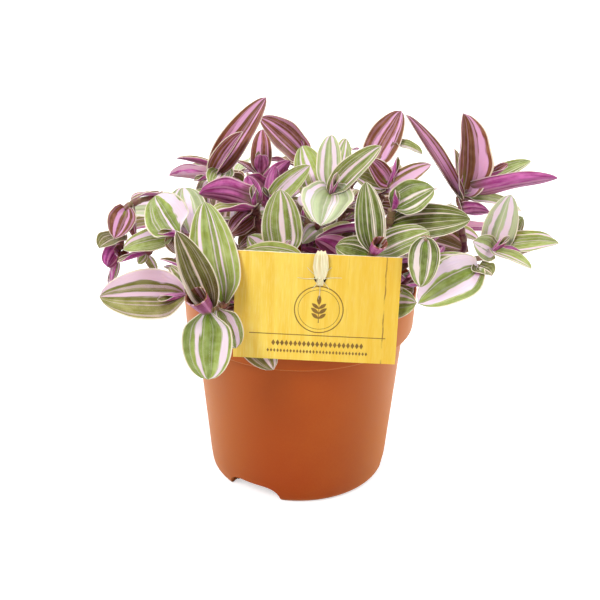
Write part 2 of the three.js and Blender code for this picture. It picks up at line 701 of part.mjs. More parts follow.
export default potted;
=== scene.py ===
"""Potted tradescantia: the leafy shoots, the nursery pot, its soil and the tag on its raffia tie.

Lengths are in millimetres up to the point where a mesh is made, in the frame of the solids: +Z up, the
front towards -Y, the origin under the middle of the pot.
"""

import math
from collections import namedtuple

import bmesh
import bpy
import numpy as np
from mathutils import Euler, Matrix, Vector, noise


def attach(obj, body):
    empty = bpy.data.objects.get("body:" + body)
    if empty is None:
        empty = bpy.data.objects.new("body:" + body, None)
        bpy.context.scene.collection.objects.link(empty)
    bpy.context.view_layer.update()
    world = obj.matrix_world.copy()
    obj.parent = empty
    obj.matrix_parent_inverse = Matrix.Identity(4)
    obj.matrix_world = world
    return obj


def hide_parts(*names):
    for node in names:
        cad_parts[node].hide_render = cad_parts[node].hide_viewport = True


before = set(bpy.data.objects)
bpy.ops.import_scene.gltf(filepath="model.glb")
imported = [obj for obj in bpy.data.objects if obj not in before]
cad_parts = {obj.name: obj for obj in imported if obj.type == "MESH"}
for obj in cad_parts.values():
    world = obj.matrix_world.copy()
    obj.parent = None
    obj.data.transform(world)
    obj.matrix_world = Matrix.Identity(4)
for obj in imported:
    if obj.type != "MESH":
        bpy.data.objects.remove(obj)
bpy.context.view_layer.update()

MM = 0.001
UP = np.array([0, 0, 1])

# Camera, as the photo was taken, in metres
CAMERA_PLACE = (0, -0.521, 0.342)
CAMERA_PITCH = 25.4  # degrees below the horizon
CAMERA_ROLL = 0.8
CAMERA_LENS = 66.5

# Nursery pot, as in the solids
POT_SIDES = 160
POT_HEIGHT = 105
RIM_RADIUS = 60
COLLAR_FOOT_RADIUS = 59
COLLAR_FOOT = 84.5  # height where the collar steps out of the wall
COLLAR_INNER_RADIUS = 57.3  # inside the collar, at its foot
WALL_TOP_RADIUS = 54.5
WALL_FOOT_RADIUS = 47.4
FOOT_INNER_RADIUS = 45.9  # inside the wall, on the floor
FOOT_ROUND = {"inset": 0.6, "low": 1.6, "outset": 0.2, "high": 7}
WALL = 1.3
RING_INNER = 40.5  # the ring that the pot stands on
RING_OUTER = 44.5
HUB_RADIUS = 22  # flat middle of the base, level with the ring
HUB_SLOPE = 1.6
RING_SLOPE = 1.2
CHANNEL = 8.7  # raised floor between hub and ring, where the drain holes are
DRAIN_HOLES = 6
DRAIN_RADIUS = 3.5
DRAIN_TURN = 30
DRAIN_STEPS = 24
NOTCHES = (240, 0, 120)  # directions of the drain notches in the ring
NOTCH = {"width": 31, "flat": 10, "height": 8.5, "shoulder": 7, "depth": 16, "reach": 54}
NOTCH_STEPS = 8
SHOULDER_RISE = 0.65  # of the arch's height, to where its side starts to bend in
CORNER_STEPS = 4
POT_CREASE = 35  # degrees at which an edge is sharp

# Soil
SOIL_LEVEL = 91.5
SOIL_BUMP = 0.9
SOIL_WAVES = {"x": 7, "y": 9, "skew": 15}
SOIL_LUMPS = ((1, 6, 1.6), (5, 1.7, 0.9))  # layer of the noise, size and height
SOIL_GAP = 0.4  # between the soil and the pot
SOIL_SIDES = 150
SOIL_RINGS = 56
SOIL_SEED = 5
CRUMBS = 900
CRUMB_SHARE = 0.8  # the rest are chips
CRUMB_SIZE = (0.6, 1.5)
CHIP_SIZE = (1.5, 2.4)
CRUMB_GAP = 3
CRUMB_LIFT = 0.3
CRUMB_FORM = (0.55, 1.25)
CRUMB_ROUGHNESS = 0.12

# Stems and leaves, as in the solids
STEM_RADIUS = 1.8
ROOT_TOP = 95.5
ROOT_END = 88
EDGE = 0.4  # half-width of a leaf's very tip
CLASP = 1  # half-width of a leaf's base, which clasps the stem
CLASP_FOLD = 60  # degrees
CLASP_END = 0.25  # of the blade's length
SWELL = 0.46  # how the blade widens from its base
TAPER = 0.64  # and narrows to its tip
WIDEST = SWELL / (SWELL + TAPER)
CUP = 12  # degrees by which the blade's edge stands steeper than its middle
CLEARANCE = 3.6  # between sample points of one shoot and the next
OWN_CLEARANCE = 2  # between the outer parts of one shoot's leaves
LEAF_SAMPLES = {"rows": 16, "columns": 6, "outer": 5}
STEM_SAMPLES = 40
LENGTH_STEPS = 60  # with which a curve is measured
POT_CLEARANCE = {"beside": 1, "above": 1.5, "inside": 5, "soil": 4}
TOWARDS_FRONT = np.array([0, -0.93, 0.36])
BENDS = (0, 3, -3, 6, -6, 9, -9, 12, -12, 16, -16, 20, -20)  # tried in turn, towards the front
OUTER_LEAF = {"length": (32, 46), "width": (15, 22), "height": (-15, 35), "top": 152, "reach": 118}
INNER_LEAF = {"length": (24, 34), "width": (12, 17), "height": (0, 45), "top": 136, "reach": 56}
INNER_PLACES = (0.34, 0.52)
SPREAD = (25, 75)  # degrees that a leaf turns from its stem, left and right by turns
RULE_TURN = (-50, 50)  # degrees by which the upper side's direction differs from the leaf's
RULE_FACING = (35, 75)
RULE_BOW = (15, 40)
RULE_FOLD = (10, 20)
RULE_TRIES = 16
LEAF_SPACING = 0.13  # of the stem's length
SEED = 71
DRAW_FACTOR = 16807
DRAW_PRIME = 2147483647

# Small leaves that only this model has, which fill the heart of the plant
HEART_LEAF = {"length": (18, 30), "width": (9, 14), "height": (5, 60), "top": 142, "reach": 66}
HEART_PLACES = (0.24, 0.43, 0.61, 0.72)
FILLING_LEAF = {"length": (14, 25), "width": (7, 12), "height": (-5, 60), "top": 140, "reach": 74}
FILLING_PLACES = (0.2, 0.28, 0.36, 0.48, 0.56, 0.66, 0.78, 0.84, 0.9)
FILLING_CLEARANCE = 1.5
FILLING_TRIES = 14

# Looks of the stems and leaves
UPPER, UNDER, STEM = range(3)  # slots of a shoot's materials
LEAF_THICKNESS = 0.62
LEAF_EDGE_THICKNESS = 0.25
LEAF_ROW = 1.6  # length of a leaf's faces
LEAF_ROWS = (12, 30)  # fewest and most
LEAF_COLUMNS = 10
WIDE_LEAF = 12
WIDE_LEAF_COLUMNS = 14
GROOVE = 0.07  # rounding of the midrib's fold, of the half-width
TIP_HALF_WIDTH = 0.12
WAVE = 0.03  # of the leaf's width
WAVES = (1.2, 2.4)  # along a margin
WAVE_SHIFT = 0.35  # of a wave, to and fro at the two margins
BAND_MIDDLE = (-0.8, 0.8)
BAND_HALF = 0.06  # the widest, as a share of half the leaf's width
PINK_BAND_HALF = 0.3  # how much more that is on the pinkest leaf
BAND_SHARE = (0.2, 1)  # of the widest
BUD_LENGTH = (9.6, 15.6)
BUD_WIDTH = 5.5
BUD_ROOT = 2  # how deep it stands in its stem
BUD_PLACE = 0.93  # from where on the stem it looks ahead
BUD_LEAN = np.array([0, -0.2, 0.35])
BUD_AZIMUTH = (-150, -30)
BUD_HEIGHT = (10, 50)
BUD_PINK = (0.2, 0.8)
BUD_BRONZE = 0.3
BUDLESS = ("top_right", "right_front", "right_low", "front_left", "front_right")
YOUNG_FOLD = 50  # a leaf folded this far is young and still rolled
CUP_WIDTH = 9  # a young leaf of at least this width is curled into a cup, a smaller one into a bud
YOUNG_CUP = {
    "share": 0.5, "lift": 0.12, "level": 0.55, "base": 0.2, "mouth": 0.38, "flare": 0.7,
    "rib": -125, "peak": 0.14,
}
YOUNG_BUD = {"breadth": 1.75, "base": 0.13, "mouth": 0.25, "opening": 0.6, "bluntness": 1.4, "narrowing": 0.6}
MOST_TURN = 3.3
ROLL_OVERLAP = 0.06
ROLL_LEAN = 0.12
STEM_WAIST = 1.45
STEM_TIP = 0.9
STEM_NARROWS = (0, 0.3)
STEM_ENDS = (0.75, 1)
STEM_STEP = 1.3
STEM_SIDES = 14
ROOT_ROWS = 5
JOINT_SWELL = 0.4
JOINT_REACH = 1.6
SHEATH_LENGTH = 4.5
SHEATH_PLACE = 6.5  # along the stem: a leaf nearer its start has no sheath
SHEATH_GAP = 0.35
SHEATH_FLARE = 0.5
SHEATH_ROWS = 7
LEAF_GLOW = {
    "Specular IOR Level": 0.2, "Subsurface Weight": 0.2, "Subsurface Radius": (1.0, 0.7, 0.4),
    "Subsurface Scale": 0.0012,
}

# Thin pale lines of a leaf, their width as a share of half the leaf's
LINES = 6
LINE_WIDEST = 0.03

# Name tag on a raffia tie, as in the solids
TAG = {"width": 75.5, "height": 51.6, "thickness": 0.9}
TAG_CENTRE = (7.5, -63.5, 120.8)
TAG_TURN = 1.6  # degrees: its right side is nearer the front
TAG_LEAN = 7
TAG_ROLL = 1.3
TAG_HOLE = {"x": 1.2, "y": 14.4, "radius": 2.8}
TAG_ZONE = ((0, 0, 0), (TAG["width"] + 3, TAG["height"] + 3, 3.6))
TIE_ZONE = ((TAG_HOLE["x"], 20.5, -6), (7.4, 19, 20))
# The tie's height and its distance in front of the card, from its knot round to its knot.
RAFFIA_LOOP = (
    (17.2, -14.2), (15, -13.2), (14, -10.4), (14.2, -5), (14.4, 0), (15, 1.6), (20, 1.9), (25, 1.8),
    (27.4, 0.9), (27.5, -1.4), (25.6, -4), (22.4, -8), (20.2, -11.6), (18.4, -14),
)

# The tag's print, and the tie's fibres
CARD, CARD_EDGE = range(2)  # slots of the card's materials
CARD_BEND = 0.3  # how far the card's sides lean back
CARD_STEPS = 96
CARD_RINGS = 13
CARD_CROWDING = 1.4  # how much closer its rings lie round the hole
CARD_LEAST_TURN = 0.03  # radians from a corner to the next point
BOARD_JOINTS = ((0.81, 0.005, 0.9, "7a4a18"), (0.64, 0.003, 0.4, "c8962e"), (0.36, 0.003, 0.2, "d8a83a"))
PRINT_RISE = 0.03
PRINT_DEPTH = 0.1
PRINT_RULE = (-30.5, 32.5, -13.5, -13.1)  # left, right, low and high
PRINT_MIDDLE = (1.2, -0.6)
PRINT_RULE_STEPS = 22
PRINT_RINGS = ((10.9, 0.5), (9.4, 0.22))  # radius and width
PRINT_RING_STEPS = 72
SPRIG_LEAF = {"rows": 9, "breadth": 0.2, "roundness": 0.8}
SPRIG_STALK = ((-0.2, -6.5), (0.2, -6.5), (0.12, 3), (-0.12, 3))
PRINT_ROWS = ((-17.6, 20.4, 2.04, 1.5), (-21.4, 22.8, 1.52, 0.95))  # height, half the length, step and size
SPRIG_LEAVES = (  # height, direction and length
    (2.2, 90, 5), (0.4, 38, 4.2), (0.4, 142, 4.2), (-2, 38, 4.6), (-2, 142, 4.6), (-4.4, 38, 4.2),
    (-4.4, 142, 4.2),
)
RAFFIA_WIDTHS = (2.6, 3.2, 3.4, 3.4, 3.6, 4.6, 7.2, 6.2, 4, 3.4, 3.2, 3, 3, 2.6)
RAFFIA_TOP = 26.7
RAFFIA_THICKNESS = 0.45
RAFFIA_COLUMNS = 11
RAFFIA_STEPS = 90
RAFFIA_PLEATS = 0.28
STRANDS = ((178, 9), (2, 8.5), (-94, 8.5), (138, 6.5), (45, 6), (-128, 5), (-52, 5))  # direction and length
STRAND = {
    "start": 1.4, "sway": 0.5, "curl": 2.4, "lift": 0.16, "arch": 0.25, "radii": (0.24, 0.12), "rows": 12,
    "sides": 6,
}
KNOT_TURNS = 3
KNOT_STEPS = 25
KNOT_SIDES = 8
KNOT_PITCH = 1.6  # from turn to turn, of the fibre's radius
KNOT_SLANT = 0.4
BACK_KNOT = {"y": 17.2, "z": -14.2, "high": 1.9, "deep": 1.7, "fibre": 0.7}
HOLE_KNOT = {"y": 13, "z": 0.9, "high": 1.5, "deep": 0.9, "fibre": 0.5}

# Studio in metres, with the place, size and power in watts of each lamp
AIR = {"front": 0.17, "back": 1.0}
FLOOR_SIZE = 6
FLOOR_LIFT = 0.6
LIGHT_AIM = (0, 0, 0.12)
LIGHTS = {
    "key": ((-0.6, -0.75, 1.05), 0.45, 11.5),
    "fill": ((0.75, -0.8, 0.6), 0.6, 4.2),
    "top": ((0.1, 0.3, 1.3), 0.6, 6),
    "left_rim": ((-0.85, 0.7, 0.4), 0.6, 6),
    "right_rim": ((0.85, 0.7, 0.4), 0.6, 8),
}

# Shoots seen from the front: the stem's points, then for each leaf its place along the stem, x, y and z of
# its tip, width, direction and height in degrees that its upper side faces, bow, fold, how pink and how
# bronze it is and, where they are plain to see, the middle and half the width of its two pale bands, as
# shares of half the leaf's width.
FRONT_SHOOTS = {
    "front_left": ([[-24, -22, 96], [-30, -42, 122], [-34, -64, 123], [-41, -78, 126]], [
        [1, -41, -84, 94, 24, -90, 6, 30, 12, 0.35, 0, 0.4, 0.1, -0.7, 0.13],
        [0.96, -54, -76, 163, 22, -70, 12, -12, 42, 0.0, 0.28, 0.12, 0.08, -0.88, 0.1],
        [1, -49, -93, 143, 13, -80, 50, 10, 50, 0, 0.8, 0.5, 0.01, -0.4, 0.01],
        [0.7, -44, -48, 166, 23, -90, 14, 22, 8, 0.5, 0, -0.5, 0.08, 0.3, 0.03],
        [0.84, -29, -72, 104, 16, -90, 22, 25, 12, 0.5, 0, 0.3, 0.05, -0.5, 0.18],
    ]),
    "left_low": ([[-36, -10, 96], [-52, -26, 118], [-47, -56, 127], [-53, -62, 126]], [
        [1, -90, -72, 129, 26, -95, 30, 14, 20, 0.3, 0.3, 0.82, 0.24, 0.05, 0.08],
        [0.85, -61, -46, 133, 10, -115, 16, 10, 20, 0.2, 0.2],
    ]),
    "left_far": ([[-40, 8, 96], [-60, 4, 130], [-65, -8, 131], [-77, -12, 125]], [
        [1, -81, -14, 120, 6, -90, 17, 10, 30, 0.6, 0],
        [1, -73, -16, 117, 6, -90, 17, 10, 30, 0.5, 0.2],
        [0.7, -78, 6, 118, 9, -90, 58, 10, 10, 0.1, 0],
        [0.66, -87, -20, 130, 15, -90, 58, 20, 15, 0.4, 0],
    ]),
    "left_hang": ([
        [-36, 22, 96], [-56, 20, 140], [-70, 15, 145], [-89, 14, 140], [-93, 10, 123], [-95, 8, 113],
    ], [
        [1, -98, 8, 101, 5, -90, 11, 10, 20, 0.6, 0],
        [0.8, -102, -4, 124, 15, -90, 75, 55, 12, 0, 0.25],
        [0.62, -94, 2, 127, 15, -90, 11, 12, 12, 0.6, 0.85, 0.3, 0.16, -0.4, 0.1],
        [0.56, -86, 4, 126, 10, -120, 10, 8, 40, 0.4, 0.8],
        [0.42, -86, 4, 147, 10, 90, 73, 45, 15, 0.3, 0.5],
        [0.88, -90, 0, 117, 10, 60, 20, 20, 50, 0.3, 0.6],
    ]),
    "left_mid": ([[-26, -4, 96], [-36, -16, 136], [-57, -34, 143]], [
        [1, -71, -14, 156, 23, -96, 26, 25, 10, 0.4, 0, 0.65, 0.26, -0.1, 0.05],
        [0.9, -59, 4, 154, 20, -78, 26, 20, 12, 0.85, 0, 0.1, 0.2, -0.7, 0.1],
    ]),
    "left_top": ([[-24, 18, 96], [-34, 20, 145], [-37, 14, 159], [-45, 12, 157]], [
        [1, -18, 14, 198, 17, -107, 16, 18, 20, 0.5, 0.8, -0.45, 0.15, 0.3, 0.07],
        [0.97, -29, 2, 184, 15, -122, 23, 10, 48, 0.4, 0.9],
        [1, -68, 20, 155, 14, 90, 34, 12, 15, 0.9, 0.2, 0.1, 0.5, -0.75, 0.16],
        [0.78, -43, -10, 159, 14, -90, 50, 30, 10, 0.3, 0],
    ]),
    "mid_left": ([[-16, -10, 96], [-20, -16, 134], [-22, -24, 155]], [
        [1, -49, -18, 159, 22, 90, 31, 38, 15, 0.3, 0.5],
        [0.9, -42, -24, 151, 17, 90, 73, 22, 20, 0.4, 0.2],
        [0.97, -34, -38, 146, 13, 90, 79, 15, 20, 0.2, 0.8],
    ]),
    "top_left": ([[-12, 20, 96], [-16, 26, 140], [-19, 12, 143], [-21, 18, 155]], [
        [1, -21, 40, 174, 12, -90, 6, 10, 15, 0.5, 0.8, -0.25, 0.2, 0.6, 0.05],
        [1, -20, 12, 169, 12, 90, 17, 5, 45, 0.3, 0.5],
        [0.97, -34, 24, 162, 9, 90, 79, 20, 20, 0.3, 0.9],
        [0.84, -27, -2, 163, 13, 68, 12, 5, 45, 0.4, 0.5],
        [0.84, -6, 10, 167, 11, 90, 22, 10, 30, 0.4, 0.5],
    ]),
    "top_mid": ([[2, 24, 96], [4, 32, 145], [1, 38, 159]], [
        [1, -22, 40, 179, 19, -70, 38, 24, 12, 0.45, 0.85, 0.3, 0.07, -0.35, 0.07],
    ]),
    "centre": ([[4, -2, 96], [6, -6, 130], [14, -22, 161]], [
        [1, 14, 2, 183, 16, -101, 11, 8, 34, 0.8, 0, 0.35, 0.22, -0.6, 0.12],
        [0.96, 22, 16, 177, 14, -73, 11, 8, 10, 0.5, 0, 0.2, 0.1, -0.6, 0.08],
        [1, 37, -16, 183, 15, -108, 40, 15, 28, 0.3, 0.1, -0.25, 0.09, 0.55, 0.08],
        [1, 9, -50, 156, 26, -90, 68, 45, 12, 0.9, 0, 0.72, 0.1, -0.25, 0.06],
        [0.84, 0, 18, 172, 18, -96, 22, 15, 10, 0.5, 0],
        [0.8, 5, -30, 150, 18, -90, 53, 15, 10, 0.4, 0, 0.3, 0.08, -0.5, 0.1],
    ]),
    "centre_left": ([[-4, 8, 96], [-8, 2, 126], [-16, -8, 150]], [
        [1, 4, -4, 169, 13, -107, 30, 12, 15, 0.55, 0],
    ]),
    "front_right": ([[14, -22, 96], [24, -36, 118], [33, -55, 145]], [
        [1, 29, -46, 176, 15, -90, 9, 8, 15, 0.12, 0.1, 0.22, 0.05, 0.85, 0.06],
        [0.95, 60, -38, 149, 16, -90, 49, 30, 12, 0.2, 0.1, 0.02, 0.06, -0.6, 0.05],
        [1, 38, -68, 158, 9, -90, 59, 10, 50, 0, 0.9, 0.5, 0.01, -0.4, 0.01],
        [0.95, 16, -50, 146, 15, -90, 37, 20, 12, 0.05, 0.1, 0.4, 0.04, -0.5, 0.03],
        [0.7, 7, -42, 146, 19, 90, 31, 40, 15, 0.4, 0.5],
        [0.5, 1, -26, 135, 13, 90, 31, 20, 15, 0.3, 0.5],
    ]),
    "front_mid": ([[-12, -28, 96], [-14, -36, 116], [-8, -42, 136]], [
        [1, -10, -30, 166, 21, -90, 6, 8, 18, 0.25, 0.1, 0.0, 0.1, 0.52, 0.07],
        [0.9, -25, -34, 144, 14, -135, 45, 20, 10, 0.5, 0, 0.3, 0.25, -0.5, 0.1],
    ]),
    "front_card": ([[8, -36, 96], [20, -47, 116], [17, -51, 134], [1, -51, 138]], [
        [1, -28, -53, 142, 16, -90, 35, 30, 10, 0.55, 0, 0.3, 0.1, -0.4, 0.14],
    ]),
    "top_right": ([[16, 20, 96], [24, 24, 145], [35, 26, 157], [48, 30, 170]], [
        [0.68, 51, 40, 185, 19, -112, 14, 18, 12, 0.7, 0.75, 0.45, 0.12, -0.35, 0.1],
        [1, 62, 24, 167, 8, -90, 68, 40, 20, 0.4, 0.1],
        [0.72, 49, 26, 172, 8, 90, 27, 10, 25, 0.2, 0.9],
    ]),
    "right_inner": ([[22, 6, 96], [34, 6, 136], [43, 8, 156]], [
        [1, 32, 0, 172, 13, -68, 16, 10, 25, 0.3, 1, 0.3, 0.08, -0.6, 0.1],
        [1, 50, 18, 163, 8, -90, 73, 20, 15, 0.8, 0.3],
        [1, 58, 12, 160, 8, 90, 59, 15, 15, 0.5, 0.5],
        [0.85, 64, 22, 161, 12, -90, 53, 30, 10, 0.6, 0.5, 0.25, 0.35, -0.6, 0.1],
    ]),
    "right_mid": ([[26, -10, 96], [40, -14, 128], [44, -18, 152]], [
        [1, 64, -14, 162, 20, -90, 55, 20, 12, 0.2, 0, -0.1, 0.05, 0.5, 0.05],
        [0.92, 60, -26, 158, 11, 90, 42, 15, 15, 0.5, 0.4],
        [0.8, 82, -16, 147, 19, -90, 37, 20, 12, 0.0, 0.15, 0.5, 0.03, -0.45, 0.035],
        [0.74, 80, -28, 147, 10, 90, 59, 15, 15, 0.8, 0.2],
        [0.9, 71, 10, 154, 8, 90, 63, 10, 15, 0.3, 0.5],
    ]),
    "right_up": ([[34, 4, 96], [62, 2, 120], [82, 0, 123], [81, 4, 136], [80, 8, 150]], [
        [1, 79, 12, 192, 30, -55, 8, 20, 35, 0.5, 0.8, 0.68, 0.14, -0.5, 0.07],
        [1, 126, -2, 164, 15, 90, 31, 12, 15, 0.4, 0.5],
        [1, 104, 12, 167, 8, -90, 50, 5, 50, 0.3, 0.8],
        [1, 119, 20, 166, 11, -90, 55, 25, 15, 0.3, 0],
        [0.97, 49, 6, 191, 13, -58, 28, 5, 40, 0.4, 0.9],
        [0.85, 77, 10, 175, 10, -53, 11, 8, 38, 0.3, 0.3],
        [0.97, 113, 2, 145, 13, -90, 79, 35, 12, 0.7, 0],
        [0.85, 93, -8, 148, 14, 90, 22, 10, 20, 0.4, 0.5],
    ]),
    "right_far": ([[42, -6, 96], [62, -11, 118], [90, -12, 125], [95, -14, 129]], [
        [1, 102, 8, 151, 18, -102, 16, 10, 15, 0.9, 0, 0.35, 0.2, -0.5, 0.16],
        [0.96, 112, 4, 141, 12, -90, 34, 10, 15, 0.2, 0],
        [1, 84, -20, 137, 14, -107, 35, 30, 12, 0.75, 0],
        [1, 124, -14, 137, 14, -90, 52, 22, 12, 0.45, 0, -0.55, 0.16, 0.5, 0.1],
        [0.98, 124, -28, 140, 13, -90, 60, 15, 20, 0.6, 0.1],
        [1, 106, -36, 131, 9, -90, 50, 15, 15, 0.5, 0.1],
        [1, 106, -26, 135, 7, 90, 35, 5, 40, 0.3, 0.5],
    ]),
    "right_low": ([[38, -18, 96], [54, -28, 118], [77, -42, 133], [83, -46, 134]], [
        [1, 54, -64, 124, 24, -104, 40, 25, 10, 0.45, 0, 0.66, 0.26, -0.45, 0.17],
        [1, 88, -56, 135, 12, -70, 35, 20, 15, 0.1, 0.2],
        [0.97, 73, -46, 122, 15, -90, 37, 15, 12, 0.1, 0.1],
        [0.8, 61, -38, 133, 12, -90, 60, 25, 15, 0.5, 0.1],
    ]),
    "right_front": ([[30, -28, 96], [47, -42, 122], [56, -58, 142], [56, -60, 155]], [
        [1, 54, -70, 135, 15, -95, 9, 25, 12, 0.2, 0.1, 0.45, 0.17, -0.4, 0.05],
        [0.92, 49, -54, 133, 8, 10, 20, 15, 15, 0.4, 0.5],
    ]),
    "front_tip": ([[18, -38, 96], [26, -50, 114], [36, -52, 119]], [
        [1, 54, -64, 124, 17, -90, 25, 12, 12, 0.3, 0.1],
        [0.9, 53, -51, 125, 11, -90, 50, 15, 12, 0.3, 0.1],
    ]),
    "front_low": ([[-18, -38, 96], [-22, -49, 112], [-29, -55, 114]], [
        [1, -12, -65, 89, 20, -94, 7, -6, 2, 0.15, 0.35, 0.05, 0.1, -0.6, 0.12],
    ]),
}

# Further small leaves between the front shoots, as rows of the same kind, where they are clear
FURTHER_LEAVES = {
    "mid_left": [
        [0.98, -26, -20, 169, 13, 95, 20, 12, 42, 0.3, 0.3],
        [0.88, -34, -25, 141, 12, -115, 30, 15, 12, 0.1, 0.8],
        [0.6, -30, -30, 136, 12, -100, 20, 15, 12, 0.2, 0.4],
    ],
    "centre_left": [
        [0.98, -13, -10, 171, 11, 90, 17, 5, 42, 0.3, 0.5],
        [0.8, -22, -16, 160, 11, 80, 40, 10, 30, 0.3, 0.5],
    ],
    "right_inner": [
        [0.95, 25, 4, 163, 13, -90, 40, 15, 15, 0.3, 0.2],
        [0.8, 26, -4, 152, 12, -90, 40, 20, 15, 0.3, 0.7],
        [0.9, 33, 4, 168, 10, 90, 30, 10, 30, 0.4, 0.6],
        [0.7, 58, 0, 143, 12, -90, 40, 20, 15, 0.1, 0.5],
    ],
    "right_mid": [
        [0.7, 7, -38, 145, 16, 90, 50, 25, 20, 0.9, 0.1, -0.45, 0.2, 0.35, 0.05],
        [0.6, 52, -22, 142, 12, -90, 30, 20, 15, 0.1, 0.4],
    ],
    "right_far": [
        [0.45, 46, -42, 134, 11, 90, 25, 15, 20, 0.3, 0.3],
    ],
    "left_hang": [
        [0.84, -99, -2, 113, 12, 90, 10, 25, 25, 0.5, 0],
    ],
}

# Shoots at the back and in the middle, whose leaves follow a rule: points and number of leaves.
BACK_SHOOTS = {
    "back_far_left": ([[-38, 28, 96], [-52, 38, 122], [-74, 54, 112]], 7),
    "back_left": ([[-22, 34, 96], [-30, 50, 136], [-44, 70, 134]], 7),
    "back_mid_left": ([[-8, 42, 96], [-12, 58, 120], [-20, 86, 112]], 7),
    "back_mid": ([[4, 34, 96], [6, 52, 138], [4, 70, 140]], 7),
    "back_mid_right": ([[12, 44, 96], [20, 57, 118], [34, 84, 108]], 7),
    "back_right": ([[26, 34, 96], [38, 50, 124], [46, 70, 112]], 7),
    "back_far_right": ([[40, 20, 96], [54, 32, 120], [80, 50, 112]], 7),
    "middle_left": ([[-24, 6, 96], [-34, 4, 118], [-46, 10, 132]], 3),
}


# Vectors and curves
def direction(azimuth, height):
    a, h = math.radians(azimuth), math.radians(height)
    return np.array([math.cos(a) * math.cos(h), math.sin(a) * math.cos(h), math.sin(h)])


def unit(vectors):
    return vectors / np.linalg.norm(vectors, axis=-1, keepdims=True)


def square(vector, axis):
    """A vector's part that is square to an axis, as a direction."""
    return unit(vector - vector @ axis * axis)


def smoothstep(x, low, high):
    t = np.clip((x - low) / (high - low), 0, 1)
    return t * t * (3 - 2 * t)


def between(low, high, share):
    return low + (high - low) * share


def distances(points):
    """How far along a line each of its points lies."""
    return np.concatenate([[0], np.linalg.norm(np.diff(points, axis=0), axis=1).cumsum()])


def circle(count):
    """Angles round a circle, and its points at them."""
    turns = np.linspace(0, 2 * math.pi, count, endpoint=False)
    return turns, np.stack([np.cos(turns), np.sin(turns)], 1)


class Curve:
    """A smooth curve through points."""

    def __init__(self, points):
        self.points = np.array(points, float)
        self.length = float(np.linalg.norm(np.diff(self.samples(LENGTH_STEPS), axis=0), axis=1).sum())

    def at(self, place):
        points = self.points
        last = len(points) - 1
        k = min(int(place * last), last - 1)
        t = place * last - k
        before = points[k - 1] if k else 2 * points[0] - points[1]
        after = points[k + 2] if k + 2 <= last else 2 * points[-1] - points[-2]
        here, there = points[k], points[k + 1]
        leave, arrive = (there - before) / 2, (after - here) / 2
        bend = 3 * (there - here) - 2 * leave - arrive
        settle = 2 * (here - there) + leave + arrive
        return here + leave * t + bend * t**2 + settle * t**3

    def samples(self, steps):
        return np.array([self.at(k / steps) for k in range(steps + 1)])


# Leaf blades
Leaf = namedtuple("Leaf", "base tip width face bow fold pink bronze bands", defaults=[()])


def half_width(s, width, edge):
    shape = (s / WIDEST) ** SWELL * (np.maximum(1 - s, 0) / (1 - WIDEST)) ** TAPER
    return np.maximum(width / 2 * shape + CLASP * (1 - smoothstep(s, 0, CLASP_END)), edge)


def leaf_grid(rows, columns):
    """Places along a blade from base to tip, and across it from edge to edge."""
    return np.linspace(0, 1, rows + 1)[:, None, None], np.linspace(-1, 1, columns + 1)[None, :, None]


def blade(leaf, rows, columns, edge=EDGE, groove=0.0):
    """The blade's middle surface: a grid of points, and the direction of its upper side in each row.

    Its midrib is a circular arc from base to tip, bowed towards the upper side, and its two halves rise from
    it, steeply at the base.
    """
    s, v = leaf_grid(rows, columns)
    chord = leaf.tip - leaf.base
    along = unit(chord)
    up = square(leaf.face, along)
    side = np.cross(along, up)
    bend = math.radians(leaf.bow if abs(leaf.bow) > 1 else 1)
    arc = np.linalg.norm(chord) / (2 * math.sin(bend / 2))
    a = bend * (s - 0.5)
    forth, lift = np.sin(a) + math.sin(bend / 2), np.cos(a) - math.cos(bend / 2)
    rib = leaf.base + arc * forth * along + arc * lift * up
    upper = np.cos(a) * up + np.sin(a) * along
    half = half_width(s, leaf.width, edge)
    fold = between(leaf.fold, CLASP_FOLD, 1 - smoothstep(s, 0, CLASP_END))
    rise = np.radians(fold + CUP * (np.abs(v) - 0.5))
    out = np.sqrt(v**2 + groove**2) - groove
    return rib + side * v * half * np.cos(rise) + upper * out * half * np.sin(rise), upper


def waved(leaf, rows, columns, chance):
    """An open blade with slightly waved margins."""
    s, v = leaf_grid(rows, columns)
    points, upper = blade(leaf, rows, columns, TIP_HALF_WIDTH, GROOVE)
    phase = chance.uniform(0, 1) + WAVE_SHIFT * np.sign(v)
    ripple = np.sin(2 * math.pi * (chance.uniform(*WAVES) * s + phase))
    return points + upper * WAVE * leaf.width * v**2 * np.sin(math.pi * s) * ripple


def cupped(leaf, rows, columns):
    """The blade of a young leaf, curled into an open funnel with its midrib in front."""
    s, v = leaf_grid(rows, columns)
    axis = YOUNG_CUP["share"] * (leaf.tip - leaf.base) + YOUNG_CUP["lift"] * leaf.width * UP
    along = unit(unit(axis) + YOUNG_CUP["level"] * UP)
    rib = square(direction(YOUNG_CUP["rib"], 0), along)
    radius = leaf.width * between(YOUNG_CUP["base"], YOUNG_CUP["mouth"], s ** YOUNG_CUP["flare"])
    radius = radius * (1 + ROLL_OVERLAP * v)
    ring = rib * np.cos(v * MOST_TURN) + np.cross(rib, along) * np.sin(v * MOST_TURN)
    return leaf.base + s * (1 + YOUNG_CUP["peak"] * v**4) * axis + radius * ring


